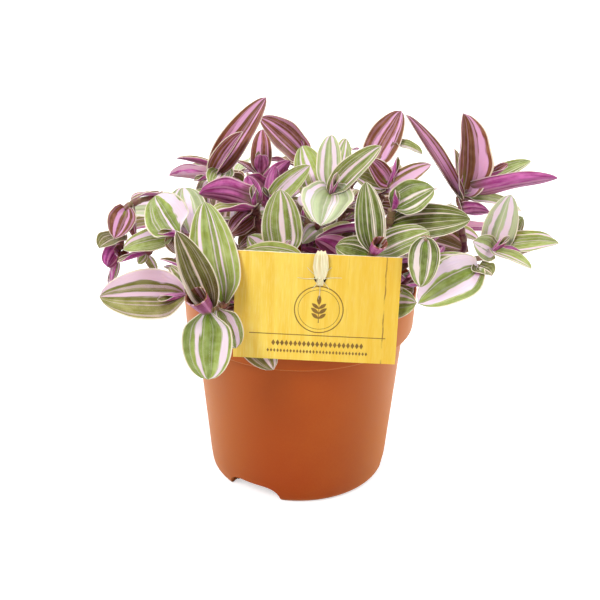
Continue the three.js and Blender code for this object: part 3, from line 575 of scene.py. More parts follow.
def rolled(leaf, rows, columns):
    """The blade of a young leaf, rolled round the line of its midrib into a pointed bud."""
    s, v = leaf_grid(rows, columns)
    along = unit(leaf.tip - leaf.base)
    up = square(leaf.face, along)
    side = np.cross(along, up)
    narrowing = 1 - np.clip((s - WIDEST) / (1 - WIDEST), 0, 1) ** YOUNG_BUD["bluntness"]
    shape = np.minimum(s / WIDEST, 1) ** SWELL * narrowing ** YOUNG_BUD["narrowing"]
    half = np.maximum(YOUNG_BUD["breadth"] * leaf.width / 2 * shape, TIP_HALF_WIDTH)
    opening = smoothstep(s, 0, YOUNG_BUD["opening"])
    radius = leaf.width * between(YOUNG_BUD["base"], YOUNG_BUD["mouth"], opening)
    turn = v * np.minimum(half / radius, MOST_TURN)
    spread = radius * (1 + ROLL_OVERLAP * v)
    rib = leaf.base + s * (leaf.tip - leaf.base) - ROLL_LEAN * leaf.width * s**2 * up
    return rib + side * spread * np.sin(turn) + up * (radius - spread * np.cos(turn))


# Keeping clear: each leaf and stem leaves sample points, which later leaves are bent away from.
class Taken:
    def __init__(self, shoot, points, outer):
        self.shoot = shoot
        self.points = points
        self.outer = outer
        self.middle = (points.min(0) + points.max(0)) / 2
        self.reach = float(np.linalg.norm(points - self.middle, axis=1).max())

    def meets(self, other, clearance):
        own = self.shoot == other.shoot
        gap = min(OWN_CLEARANCE, clearance) if own else clearance
        if np.linalg.norm(self.middle - other.middle) > self.reach + other.reach + gap:
            return False
        mine, theirs = (self.outer, other.outer) if own else (self.points, other.points)
        if not len(mine) or not len(theirs):
            return False
        apart = mine[:, None, :] - theirs[None, :, :]
        return float((apart**2).sum(2).min()) < gap * gap


def tag_axes():
    """The tag's right, up and outward directions."""
    turn, roll = math.radians(TAG_TURN), math.radians(TAG_ROLL)
    flat = np.array([math.cos(turn), -math.sin(turn), 0])
    out = direction(-90 - TAG_TURN, TAG_LEAN)
    rise = np.cross(out, flat)
    right = math.cos(roll) * flat - math.sin(roll) * rise
    return np.array([right, np.cross(out, right), out])


TAG_AXES = tag_axes()


def within(points, zone):
    middle, size = np.array(zone[0]), np.array(zone[1])
    return (np.abs(points - middle) <= size / 2).all(1)


def is_blocked(points):
    """Whether any of the points lies too near the pot, the soil, the tag or its tie."""
    radius, height = np.hypot(points[:, 0], points[:, 1]), points[:, 2]
    over_pot = radius < RIM_RADIUS + POT_CLEARANCE["beside"]
    over_pot &= height < POT_HEIGHT + POT_CLEARANCE["above"]
    in_wall = radius > RIM_RADIUS - POT_CLEARANCE["inside"]
    in_soil = height < SOIL_LEVEL + POT_CLEARANCE["soil"]
    in_tag = (points - np.array(TAG_CENTRE)) @ TAG_AXES.T
    near_tag = within(in_tag, TAG_ZONE) | within(in_tag, TIE_ZONE)
    return bool((over_pot & (in_wall | in_soil) | near_tag).any())


class Plant:
    """All stems and leaves, grown in the order and by the rules of the solids."""

    def __init__(self):
        self.seed = SEED
        self.stems = {name: Curve(shoot[0]) for name, shoot in {**FRONT_SHOOTS, **BACK_SHOOTS}.items()}
        self.leaves = {name: [] for name in self.stems}
        self.taken = [
            Taken(name, stem.samples(STEM_SAMPLES), np.empty((0, 3))) for name, stem in self.stems.items()
        ]
        for name, (_, rows) in FRONT_SHOOTS.items():
            for row in rows:
                self.keep(name, row[0], self.placed_leaf(name, row))
        for name, (_, count) in BACK_SHOOTS.items():
            self.rule_leaves([name], [1 - k * LEAF_SPACING for k in range(count)], OUTER_LEAF)
        self.rule_leaves(FRONT_SHOOTS, INNER_PLACES, INNER_LEAF)
        for name, rows in FURTHER_LEAVES.items():
            for row in rows:
                leaf = self.placed_leaf(name, row)
                if self.is_clear(self.samples(name, leaf), FILLING_CLEARANCE):
                    self.keep(name, row[0], leaf)
        self.rule_leaves(self.stems, HEART_PLACES, HEART_LEAF)
        for place in FILLING_PLACES:
            for name in self.stems:
                for side in (-1, 1):
                    self.rule_leaf(name, place, side, FILLING_LEAF, FILLING_CLEARANCE, FILLING_TRIES)

    def draw(self, span):
        low, high = span
        self.seed = (self.seed * DRAW_FACTOR) % DRAW_PRIME
        return low + (high - low) * self.seed / DRAW_PRIME

    def samples(self, name, leaf):
        points, _ = blade(leaf, LEAF_SAMPLES["rows"], LEAF_SAMPLES["columns"])
        return Taken(name, points.reshape(-1, 3), points[LEAF_SAMPLES["outer"]:].reshape(-1, 3))

    def is_clear(self, mine, clearance=CLEARANCE):
        return not is_blocked(mine.points) and not any(mine.meets(other, clearance) for other in self.taken)

    def keep(self, name, place, leaf):
        self.leaves[name].append((place, leaf))
        self.taken.append(self.samples(name, leaf))

    def placed_leaf(self, name, row):
        """A leaf of the table, bent towards or away from the front until it is clear."""
        place, x, y, z, width, azimuth, height, bow, fold, pink, bronze, *bands = row
        base, tip = self.stems[name].at(place), np.array([x, y, z], float)
        straight = Leaf(base, tip, width, direction(azimuth, height), bow, fold, pink, bronze, bands)
        bent = (straight._replace(tip=straight.tip + amount * TOWARDS_FRONT) for amount in BENDS)
        return next((leaf for leaf in bent if self.is_clear(self.samples(name, leaf))), straight)

    def rule_leaves(self, names, places, size):
        """Leaves by rule along each of the stems, on its left and its right in turn."""
        for name in names:
            for k, place in enumerate(places):
                self.rule_leaf(name, place, 1 if k % 2 else -1, size)

    def rule_leaf(self, name, place, side, size, clearance=CLEARANCE, tries=RULE_TRIES):
        """A leaf by rule on one side of its stem, or none where nothing is clear."""
        base = self.stems[name].at(place)
        ahead = base - self.stems[name].at(place - LEAF_SPACING)
        heading = math.degrees(math.atan2(ahead[1], ahead[0]))
        for _ in range(tries):
            azimuth = heading + side * self.draw(SPREAD)
            length = self.draw(size["length"])
            tip = base + length * direction(azimuth, self.draw(size["height"]))
            turn = self.draw(RULE_TURN)
            face = direction(azimuth + turn, self.draw(RULE_FACING))
            width, bow, fold = [self.draw(span) for span in (size["width"], RULE_BOW, RULE_FOLD)]
            lean = turn / RULE_TURN[1]
            leaf = Leaf(base, tip, width, face, bow, fold, (lean + 1) / 2, (1 - lean) / 4)
            inside = tip[2] < size["top"] and math.hypot(tip[0], tip[1]) < size["reach"]
            if inside and self.is_clear(self.samples(name, leaf), clearance):
                self.keep(name, place, leaf)
                return


# Meshes
def added(name, data):
    """A new object of the scene."""
    made = bpy.data.objects.new(name, data)
    bpy.context.scene.collection.objects.link(made)
    return made


def dressed(piece, slot, *nodes):
    """Hands a piece to the frame: it rides on the one body and stands for the named solids."""
    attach(piece, "root")
    if nodes:
        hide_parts(*nodes)
    return piece


class Surface:
    """Vertices and faces with their finish, gathered for one mesh."""

    def __init__(self):
        self.vertices = []
        self.faces = []
        self.maps = []
        self.slots = []
        self.kinds = []

    def face(self, corners, slot):
        self.faces.append([int(corner) for corner in corners])
        self.slots.append(slot)

    def grid(self, points, across, along, slot, kind=(), closed=False, flip=False):
        """A grid of points as quads. Columns join up where it is closed. Returns its vertices' numbers."""
        rows, columns = points.shape[:2]
        first = len(self.vertices)
        self.vertices.extend(map(tuple, points.reshape(-1, 3)))
        self.maps.extend((across[j], along[i]) for i in range(rows) for j in range(columns))
        self.kinds.extend([(*kind, *[0] * (8 - len(kind)))] * (rows * columns))
        number = first + np.arange(rows * columns).reshape(rows, columns)
        for i in range(rows - 1):
            for j in range(columns if closed else columns - 1):
                k = (j + 1) % columns
                quad = (number[i, j], number[i, k], number[i + 1, k], number[i + 1, j])
                self.face(quad[::-1] if flip else quad, slot)
        return number

    def tube(self, points, across=None, along=(0, 1), slot=0, kind=(), flip=False):
        """A closed grid with its two ends filled."""
        across = np.zeros(points.shape[1]) if across is None else across
        number = self.grid(points, across, along, slot, kind, closed=True, flip=flip)
        for end in (number[0][::-1], number[-1]):
            self.face(end[::-1] if flip else end, slot)

    def bridge(self, over, under, slot):
        """Quads between two closed rows of vertices."""
        for k in range(len(over)):
            self.face((over[k], over[k - 1], under[k - 1], under[k]), slot)

    def sheet(self, middle, rise, across, along, slots, kind=()):
        """The upper and under side of a thin sheet, and the rim between them."""
        over = self.grid(middle + rise, across, along, slots[0], kind)
        under = self.grid(middle - rise, across, along, slots[1], kind, flip=True)
        rims = [np.concatenate([n[0, :-1], n[:-1, -1], n[-1, :0:-1], n[:0:-1, 0]]) for n in (over, under)]
        self.bridge(*rims, slots[0])

    def piece(self, name, materials, crease=50):
        """The gathered surface as an object in metres."""
        mesh = bpy.data.meshes.new(name)
        mesh.from_pydata((np.array(self.vertices) * MM).tolist(), [], self.faces)
        for material in materials:
            mesh.materials.append(material)
        mesh.polygons.foreach_set("material_index", self.slots)
        mesh.polygons.foreach_set("use_smooth", [True] * len(self.faces))
        corners = np.zeros(len(mesh.loops), int)
        mesh.loops.foreach_get("vertex_index", corners)
        layer = mesh.uv_layers.new(name="surface")
        layer.uv.foreach_set("vector", np.array(self.maps, float)[corners].ravel())
        for label, first in (("kind", 0), ("bands", 4)):
            layer = mesh.attributes.new(label, "FLOAT_COLOR", "POINT")
            layer.data.foreach_set("color", np.array(self.kinds, float)[:, first:first + 4].ravel())
        mesh.set_sharp_from_angle(angle=math.radians(crease))
        mesh.validate()
        return added(name, mesh)


def sweep(surface, centres, radii, sides, slot, kind):
    """A round tube along centres."""
    ahead = unit(np.gradient(centres, axis=0))
    start = np.cross(ahead[0], direction(0, 0))
    normal = unit(start if np.linalg.norm(start) > 0.1 else np.cross(ahead[0], direction(90, 0)))
    turns, spots = circle(sides)
    rings = []
    for centre, radius, step in zip(centres, radii, ahead):
        normal = square(normal, step)
        other = np.cross(step, normal)
        rings.append(centre + radius * (spots[:, :1] * normal + spots[:, 1:] * other))
    surface.tube(np.array(rings), turns / (2 * math.pi), distances(centres) / 10, slot, kind)


# Leafy shoots
def drawn_bands(pink, chance):
    """The middles and half-widths of two pale bands."""
    widest = BAND_HALF + PINK_BAND_HALF * pink**1.5
    return [value for _ in range(2)
            for value in (chance.uniform(*BAND_MIDDLE), chance.uniform(*BAND_SHARE) * widest)]


def add_leaf(surface, leaf, chance):
    is_rolled = leaf.fold >= YOUNG_FOLD
    rows = int(np.clip(float(np.linalg.norm(leaf.tip - leaf.base)) / LEAF_ROW, *LEAF_ROWS))
    columns = WIDE_LEAF_COLUMNS if leaf.width > WIDE_LEAF or is_rolled else LEAF_COLUMNS
    if is_rolled:
        points = (cupped if leaf.width >= CUP_WIDTH else rolled)(leaf, rows, columns)
    else:
        points = waved(leaf, rows, columns, chance)
    facing = unit(np.cross(np.gradient(points, axis=1), np.gradient(points, axis=0)))
    s, v = (places.ravel() for places in leaf_grid(rows, columns))
    thickness = between(LEAF_EDGE_THICKNESS, LEAF_THICKNESS, 1 - v**2)
    kind = (chance.uniform(0, 1), leaf.pink, leaf.bronze, 0, *(leaf.bands or drawn_bands(leaf.pink, chance)))
    surface.sheet(points, facing * thickness[None, :, None] / 2, (v + 1) / 2, s, (UPPER, UNDER), kind)


def bud_of(stem, chance):
    """The young leaf, still rolled, at the tip of a stem."""
    tip = stem.at(1)
    ahead = unit(unit(tip - stem.at(BUD_PLACE)) + BUD_LEAN)
    end = tip + chance.uniform(*BUD_LENGTH) * ahead
    face = direction(chance.uniform(*BUD_AZIMUTH), chance.uniform(*BUD_HEIGHT))
    pink = chance.uniform(*BUD_PINK)
    return Leaf(tip - BUD_ROOT * ahead, end, BUD_WIDTH, face, 0, YOUNG_FOLD, pink, BUD_BRONZE)


def add_stem(surface, stem, places, chance):
    """The stem with its root, a swelling at each joint, and the sheaths of its leaves."""
    steps = int(stem.length / STEM_STEP)
    curve = stem.samples(steps)
    root = np.linspace(ROOT_END, ROOT_TOP, ROOT_ROWS)[:, None] * UP
    centres = np.concatenate([root + curve[0] * (1 - UP), curve])
    place = np.concatenate([np.zeros(ROOT_ROWS), np.linspace(0, 1, steps + 1)])
    radii = between(STEM_RADIUS, STEM_WAIST, smoothstep(place, *STEM_NARROWS))
    radii = radii + (STEM_TIP - STEM_WAIST) * smoothstep(place, *STEM_ENDS)
    for joint in places:
        radii = radii + JOINT_SWELL * np.exp(-(((place - joint) * stem.length / JOINT_REACH) ** 2))
    sweep(surface, centres, radii, STEM_SIDES, STEM, (chance.uniform(0, 1), 0, 0))
    for joint in places:
        if joint * stem.length > SHEATH_PLACE:
            add_sheath(surface, stem, joint, chance)


def add_sheath(surface, stem, joint, chance):
    """The pale tube by which a leaf's base wraps its stem."""
    along = np.linspace(-SHEATH_LENGTH / stem.length, 0, SHEATH_ROWS)
    centres = np.array([stem.at(joint + step) for step in along])
    radii = STEM_WAIST + SHEATH_GAP + SHEATH_FLARE * np.linspace(0, 1, SHEATH_ROWS) ** 2
    radii[0] = STEM_WAIST
    sweep(surface, centres, radii, STEM_SIDES, STEM, (chance.uniform(0, 1), 1, 0))


def leafy_shoot(name, stem, leaves, materials):
    chance = np.random.RandomState(sum(map(ord, name)))
    surface = Surface()
    add_stem(surface, stem, sorted({place for place, _ in leaves}), chance)
    for _, leaf in leaves:
        add_leaf(surface, leaf, chance)
    bud = bud_of(stem, chance)
    if name not in BUDLESS and not is_blocked(rolled(bud, LEAF_ROWS[0], LEAF_COLUMNS).reshape(-1, 3)):
        add_leaf(surface, bud, chance)
    return dressed(surface.piece("leafy_" + name, materials), "leaf", "shoot_" + name)


# Turned pieces
def rounded(profile):
    """A profile of (radius, height, rounding) with its corners rounded by short curves."""
    points = []
    for before, corner, after in zip(profile[-1:] + profile[:-1], profile, profile[1:] + profile[:1]):
        middle = np.array(corner[:2], float)
        if len(corner) < 3:
            points.append(middle)
            continue
        start = middle + unit(np.array(before[:2]) - middle) * corner[2]
        end = middle + unit(np.array(after[:2]) - middle) * corner[2]
        for t in np.linspace(0, 1, CORNER_STEPS + 1):
            points.append((1 - t) ** 2 * start + 2 * t * (1 - t) * middle + t**2 * end)
    return np.array(points)


def turned(surface, profile, sides):
    """A profile that starts and ends on the axis, turned round it."""
    turns, spots = circle(sides)
    points = np.array([[(*(radius * spot), height) for spot in spots] for radius, height in profile[1:-1]])
    number = surface.grid(points, turns / (2 * math.pi), distances(profile[1:-1]) / 100, 0, closed=True)
    for (_, height), edge in ((profile[0], number[0][::-1]), (profile[-1], number[-1])):
        middle = len(surface.vertices)
        surface.vertices.append((0, 0, height))
        surface.maps.append((0.5, 0))
        surface.kinds.append([0] * 8)
        for a, b in zip(edge, np.roll(edge, -1)):
            surface.face((middle, a, b), 0)


# Pot
def pot_profile():
    floor = CHANNEL + WALL
    return rounded([
        (0, 0), (HUB_RADIUS, 0, 0.6), (HUB_RADIUS + HUB_SLOPE, CHANNEL, 0.8),
        (RING_INNER - RING_SLOPE, CHANNEL, 0.8), (RING_INNER, 0, 0.8), (RING_OUTER, 0, 1.2),
        (WALL_FOOT_RADIUS - FOOT_ROUND["inset"], FOOT_ROUND["low"], 1.6),
        (WALL_FOOT_RADIUS + FOOT_ROUND["outset"], FOOT_ROUND["high"], 3),
        (WALL_TOP_RADIUS, COLLAR_FOOT, 0.8), (COLLAR_FOOT_RADIUS, COLLAR_FOOT, 1.4),
        (RIM_RADIUS, POT_HEIGHT, 0.6), (RIM_RADIUS - WALL, POT_HEIGHT, 0.6),
        (COLLAR_INNER_RADIUS, COLLAR_FOOT + WALL, 1.2), (WALL_TOP_RADIUS - WALL, COLLAR_FOOT, 0.8),
        (FOOT_INNER_RADIUS, floor, 2.5), (HUB_RADIUS + 0.3, floor, 0.6),
        (HUB_RADIUS - WALL, WALL, 0.8), (0, WALL),
    ])


def notch_cutter(surface, azimuth):
    """A low arch with round shoulders, that reaches out through the foot ring."""
    half, flat, height = NOTCH["width"] / 2, NOTCH["flat"] / 2, NOTCH["height"]
    t = np.linspace(0, 1, NOTCH_STEPS + 1)[:, None]
    bend = [(half, 0), (half, SHOULDER_RISE * height), (flat + NOTCH["shoulder"], height), (flat, height)]
    a, b, c, d = np.array(bend, float)
    side = (1 - t) ** 3 * a + 3 * (1 - t) ** 2 * t * b + 3 * (1 - t) * t**2 * c + t**3 * d
    arch = [(half, -height)] + [tuple(spot) for spot in side]
    arch += [(-x, z) for x, z in reversed(arch)]
    turn = np.array(Matrix.Rotation(math.radians(azimuth - 90), 3, "Z"))
    depths = (NOTCH["reach"] - NOTCH["depth"], NOTCH["reach"])
    surface.tube(np.array([[turn @ np.array([x, y, z]) for x, z in arch] for y in depths]), flip=True)


def drain_cutter(surface, azimuth):
    centre = direction(azimuth, 0)[:2] * (HUB_RADIUS + RING_INNER) / 2
    ring = centre + DRAIN_RADIUS * circle(DRAIN_STEPS)[1]
    surface.tube(np.array([[(x, y, z) for x, y in ring] for z in (CHANNEL - WALL, CHANNEL + 2 * WALL)]))


def cut(piece, cutter):
    """Takes the cutter out of the piece for good."""
    modifier = piece.modifiers.new("cut", "BOOLEAN")
    modifier.operation = "DIFFERENCE"
    modifier.solver = "EXACT"
    modifier.object = cutter
    bpy.context.view_layer.update()
    made = bpy.data.meshes.new_from_object(piece.evaluated_get(bpy.context.evaluated_depsgraph_get()))
    piece.modifiers.clear()
    piece.data = made
    bpy.data.objects.remove(cutter)


def nursery_pot(plastic):
    shell, tools = Surface(), Surface()
    turned(shell, pot_profile(), POT_SIDES)
    pot = shell.piece("nursery_pot", [plastic], POT_CREASE)
    for azimuth in NOTCHES:
        notch_cutter(tools, azimuth)
    for k in range(DRAIN_HOLES):
        drain_cutter(tools, DRAIN_TURN + k * 360 / DRAIN_HOLES)
    cut(pot, tools.piece("pot_cutters", [plastic]))
    pot.data.set_sharp_from_angle(angle=math.radians(POT_CREASE))
    return dressed(pot, "pot_plastic", "pot")


# Soil
def soil_height(x, y):
    """The soil's lumps, in millimetres over its level."""
    lump = SOIL_BUMP * math.sin(x / SOIL_WAVES["x"]) * math.cos(y / SOIL_WAVES["y"] + x / SOIL_WAVES["skew"])
    for layer, size, height in SOIL_LUMPS:
        lump += noise.noise(Vector((x / size, y / size, layer))) * height
    return lump


def potting_soil(mix):
    floor = CHANNEL + WALL + SOIL_GAP
    top = COLLAR_INNER_RADIUS - SOIL_GAP
    wall = [(0, floor), (FOOT_INNER_RADIUS - 0.6, floor), (WALL_TOP_RADIUS - WALL - 0.5, COLLAR_FOOT)]
    wall += [(top, COLLAR_FOOT + WALL + 0.5)]
    rings = [(radius, SOIL_LEVEL) for radius in np.linspace(top, 0, SOIL_RINGS)]
    surface = Surface()
    turned(surface, np.array(wall + rings, float), SOIL_SIDES)
    surface.vertices = [
        (x, y, z + soil_height(x, y)) if z > SOIL_LEVEL - 0.1 else (x, y, z) for x, y, z in surface.vertices
    ]
    return dressed(surface.piece("potting_mix", [mix], crease=180), "potting_soil", "soil")


def soil_crumbs(mix):
    """Loose crumbs and bark chips that lie on the soil, clear of the pot."""
    chance = np.random.RandomState(SOIL_SEED)
    gathered = bmesh.new()
    for _ in range(CRUMBS):
        radius = (COLLAR_INNER_RADIUS - CRUMB_GAP) * math.sqrt(chance.uniform(0, 1))
        spot = radius * direction(chance.uniform(0, 360), 0)
        size = chance.uniform(*(CRUMB_SIZE if chance.uniform(0, 1) < CRUMB_SHARE else CHIP_SIZE))
        lift = SOIL_LEVEL + soil_height(spot[0], spot[1]) + CRUMB_LIFT * size
        turn = Euler(chance.uniform(0, 6.28, 3)).to_matrix().to_4x4()
        shape = Matrix.Diagonal((*(size * chance.uniform(*CRUMB_FORM, 3)), 1))
        place = Matrix.Translation((spot[0], spot[1], lift)) @ turn @ shape
        made = bmesh.ops.create_icosphere(gathered, subdivisions=1, radius=1, matrix=place)
        for vertex in made["verts"]:
            vertex.co += Vector(chance.uniform(-CRUMB_ROUGHNESS, CRUMB_ROUGHNESS, 3)) * size
    bmesh.ops.scale(gathered, vec=(MM, MM, MM), verts=gathered.verts)
    mesh = bpy.data.meshes.new("soil_crumbs")
    gathered.to_mesh(mesh)
    gathered.free()
    mesh.materials.append(mix)
    mesh.shade_smooth()
    return dressed(added("soil_crumbs", mesh), "potting_soil")


# Tag
def on_tag(points):
    """Points in the tag's own frame, brought to the object's."""
    bent = np.array(points, float)
    bent[..., 2] -= CARD_BEND * (bent[..., 0] / (TAG["width"] / 2)) ** 2
    return bent @ TAG_AXES + np.array(TAG_CENTRE)


def card_outline(steps):
    """Points round the hole, and on the card's edge in the same directions, its corners among them."""
    x, y = TAG_HOLE["x"], TAG_HOLE["y"]
    reach = [(sx * TAG["width"] / 2 - x, sy * TAG["height"] / 2 - y) for sx in (-1, 1) for sy in (-1, 1)]
    corners = [math.atan2(dy, dx) % (2 * math.pi) for dx, dy in reach]
    turns = [t for t in circle(steps)[0] if min(abs(t - corner) for corner in corners) > CARD_LEAST_TURN]
    turns = np.array(sorted(turns + corners))
    ring = np.stack([np.cos(turns), np.sin(turns)], 1)
    across = (np.sign(ring[:, 0]) * TAG["width"] / 2 - x) / ring[:, 0]
    rise = np.where(np.abs(ring[:, 1]) < 1e-9, 1e-9, ring[:, 1])
    upward = (np.sign(ring[:, 1]) * TAG["height"] / 2 - y) / rise
    out = np.minimum(np.abs(across), np.abs(upward))[:, None]
    return np.array([x, y]) + TAG_HOLE["radius"] * ring, np.array([x, y]) + out * ring


def hanging_card(front, edge):
    """The card with its punched hole, slightly bent."""
    hole, rim = card_outline(CARD_STEPS)
    rings = np.array([between(hole, rim, t) for t in np.linspace(0, 1, CARD_RINGS) ** CARD_CROWDING])
    surface = Surface()
    numbers = []
    for side in (0.5, -0.5):
        flat = np.dstack([rings, np.full(rings.shape[:2], side * TAG["thickness"])])
        unmapped = np.zeros(len(hole)), np.zeros(len(rings))
        numbers.append(surface.grid(on_tag(flat), *unmapped, CARD, closed=True, flip=side < 0))
    surface.maps = [(x / 100 + 0.5, y / 100 + 0.5) for x, y in rings.reshape(-1, 2)] * 2
    over, under = numbers
    surface.bridge(over[0][::-1], under[0][::-1], CARD_EDGE)
    surface.bridge(over[-1], under[-1], CARD_EDGE)
    return dressed(surface.piece("hanging_card", [front, edge]), "tag_card", "tag_card")


def printed(surface, outline):
    """A flat printed shape on the card, from its outline."""
    face = TAG["thickness"] / 2
    levels = (face - PRINT_DEPTH, face + PRINT_RISE)
    surface.tube(on_tag([[(x, y, z) for x, y in outline] for z in levels]))


def printed_ring(surface, x, y, radius, width):
    turns = np.linspace(0, 2 * math.pi, PRINT_RING_STEPS + 1)
    for a, b in zip(turns[:-1], turns[1:]):
        corners = [(radius, a), (radius + width, a), (radius + width, b), (radius, b)]
        printed(surface, [(x + reach * math.cos(t), y + reach * math.sin(t)) for reach, t in corners])


def printed_leaf(surface, x, y, turn, length):
    t = np.linspace(0, 1, SPRIG_LEAF["rows"])
    half = SPRIG_LEAF["breadth"] * length * np.sin(math.pi * t) ** SPRIG_LEAF["roundness"]
    outline = list(zip(t * length, -half)) + list(zip(t[-2:0:-1] * length, half[-2:0:-1]))
    c, s = math.cos(math.radians(turn)), math.sin(math.radians(turn))
    printed(surface, [(x + c * a - s * b, y + s * a + c * b) for a, b in outline])


def card_print(ink):
    """A thin rule, a leaf sprig in a double ring and two rows of small diamonds."""
    surface = Surface()
    left, right, low, high = PRINT_RULE
    spots = np.linspace(left, right, PRINT_RULE_STEPS)
    for a, b in zip(spots[:-1], spots[1:]):
        printed(surface, [(a, low), (b, low), (b, high), (a, high)])
    x, y = PRINT_MIDDLE
    for radius, width in PRINT_RINGS:
        printed_ring(surface, x, y, radius, width)
    printed(surface, [(x + dx, y + dy) for dx, dy in SPRIG_STALK])
    for height, turn, length in SPRIG_LEAVES:
        printed_leaf(surface, x, y + height, turn, length)
    for height, half, step, size in PRINT_ROWS:
        for along in np.arange(-half, half + 0.1, step):
            diamond = ((0, -size), (0.6 * size, 0), (0, size), (-0.6 * size, 0))
            printed(surface, [(x + along + dx, height + dy) for dx, dy in diamond])
    return dressed(surface.piece("card_print", [ink]), "tag_card")


# Tie
def raffia_band(surface):
    """The ribbon from its knot through the card's hole, over the top edge and back, pleated lengthwise."""
    loop = Curve([(TAG_HOLE["x"], min(height, RAFFIA_TOP), out) for height, out in RAFFIA_LOOP])
    centres = loop.samples(RAFFIA_STEPS)[:, None, :]
    places = np.linspace(0, len(RAFFIA_LOOP) - 1, RAFFIA_STEPS + 1)
    width = np.interp(places, range(len(RAFFIA_LOOP)), RAFFIA_WIDTHS)[:, None, None]
    sideways = np.array([1, 0, 0])
    normal = unit(np.cross(sideways, unit(np.gradient(centres, axis=0))))
    v = np.linspace(-0.5, 0.5, RAFFIA_COLUMNS)
    across = v[None, :, None]
    pleats = RAFFIA_PLEATS * np.cos(across * 4 * math.pi) * (3.4 / width) ** 0.5
    middle = on_tag(centres + across * width * sideways + pleats * normal)
    rise = 0.5 * RAFFIA_THICKNESS * (1 - 1.2 * np.abs(across)) * normal
    surface.sheet(middle, rise @ TAG_AXES, v + 0.5, places / 4, (0, 0))


def raffia_knot(surface, knot):
    """Turns of raffia side by side."""
    middle = np.array([TAG_HOLE["x"], knot["y"], knot["z"]])
    turns = np.linspace(0, 2 * math.pi, KNOT_STEPS)
    radii = np.full(KNOT_STEPS, knot["fibre"])
    for k in range(KNOT_TURNS):
        slant = KNOT_PITCH * knot["fibre"] * (k - 1) + KNOT_SLANT * np.sin(turns)
        ring = np.stack([slant, knot["high"] * np.cos(turns), knot["deep"] * np.sin(turns)], 1)
        sweep(surface, on_tag(middle + ring), radii, KNOT_SIDES, 0, (0.3 * k, 0, 0))


def raffia_strands(surface):
    """Fine fibres that have come loose at the hole and lie on the card."""
    start = np.array([TAG_HOLE["x"], TAG_HOLE["y"], TAG["thickness"] / 2 + STRAND["lift"]])
    radii = np.linspace(*STRAND["radii"], STRAND["rows"])
    t = np.linspace(0, 1, STRAND["rows"])[:, None]
    for azimuth, length in STRANDS:
        ahead = direction(azimuth, 0) * (STRAND["start"] + length * t)
        aside = direction(azimuth + 90, 0) * STRAND["sway"] * np.sin(STRAND["curl"] * t)
        centres = start + ahead + aside + STRAND["arch"] * UP * np.sin(math.pi * t)
        sweep(surface, on_tag(centres), radii, STRAND["sides"], 0, (0.5, 0, 0))


def raffia_tie(fibre):
    surface = Surface()
    raffia_band(surface)
    raffia_knot(surface, BACK_KNOT)
    raffia_knot(surface, HOLE_KNOT)
    raffia_strands(surface)
    return dressed(surface.piece("raffia_tie", [fibre]), "raffia", "tag_tie")


# Wiring of materials
def colour(value):
    """A colour given as six hexadecimal digits, in linear light. A socket stays as it is."""
    if not isinstance(value, str):
        return value
    parts = [int(value[k:k + 2], 16) / 255 for k in (0, 2, 4)]
    return (*[c / 12.92 if c <= 0.04045 else ((c + 0.055) / 1.055) ** 2.4 for c in parts], 1)


class Graph:
    """A node tree being wired. Values are sockets or plain numbers, and colours are sockets or digits."""

    def __init__(self, tree):
        self.tree = tree

    def fill(self, sockets, values):
        for key, value in values.items():
            if isinstance(value, bpy.types.NodeSocket):
                self.tree.links.new(value, sockets[key])
            else:
                sockets[key].default_value = value

    def add(self, kind, values=(), **settings):
        """A new node. Returns its outputs."""
        node = self.tree.nodes.new("ShaderNode" + kind)
        for name, value in settings.items():
            setattr(node, name, value)
        self.fill(node.inputs, dict(values))
        return node.outputs

    def group(self, name, values):
        return self.add("Group", values, node_tree=bpy.data.node_groups[name])

    def math(self, operation, *values, clamp=False):
        return self.add("Math", dict(enumerate(values)), operation=operation, use_clamp=clamp)[0]

    def times(self, value, factor, plus=0.0, clamp=False):
        return self.math("MULTIPLY_ADD", value, factor, plus, clamp=clamp)

    def less(self, value, other):
        return self.math("SUBTRACT", value, other)

    def off(self, value, middle=0.0):
        """How far a value is from the middle, to either side."""
        return self.math("ABSOLUTE", self.less(value, middle))

    def step(self, value, low, high):
        return self.add("MapRange", {0: value, 1: low, 2: high}, interpolation_type="SMOOTHSTEP")[0]

    def blend(self, mask, a, b):
        """Between two numbers."""
        return self.add("Mix", {0: mask, 2: a, 3: b}, data_type="FLOAT")[0]

    def mix(self, mask, a, b, strength=1.0):
        """Between two colours."""
        mask = mask if strength == 1 else self.times(mask, strength)
        return self.add("Mix", {0: mask, 6: colour(a), 7: colour(b)}, data_type="RGBA")[2]

    def fade(self, value, low, high, a, b, strength=1.0):
        """Between two colours, as a value goes from low to high."""
        return self.mix(self.step(value, low, high), a, b, strength)

    def place(self, x, y, z):
        return self.add("CombineXYZ", {0: x, 1: y, 2: z})[0]

    def split(self, vector):
        return self.add("SeparateXYZ", {0: vector})

    def here(self):
        """The place on the object, in metres."""
        return self.add("TexCoord")["Object"]

    def own_map(self):
        """The place across and along the surface."""
        across, along, _ = self.split(self.add("UVMap", uv_map="surface")[0])
        return across, along

    def own_values(self, label):
        """The four numbers that the mesh carries under a label."""
        values = self.add("Attribute", attribute_name=label)
        return (*self.add("SeparateColor", {0: values["Color"]}), values["Alpha"])

    def noise(self, place, scale, detail=2, roughness=0.5):
        values = {"Vector": place, "Scale": scale, "Detail": detail, "Roughness": roughness}
        return self.add("TexNoise", values)[0]

    def wander(self, place, amount, middle=0.0, scale=1, detail=2):
        """Noise to both sides of a middle value."""
        return self.times(self.less(self.noise(place, scale, detail), 0.5), amount, middle)

    def mottled(self, place, patches, grain):
        return self.group("Mottle", {"Place": place, "Patches": patches, "Grain": grain})["Value"]


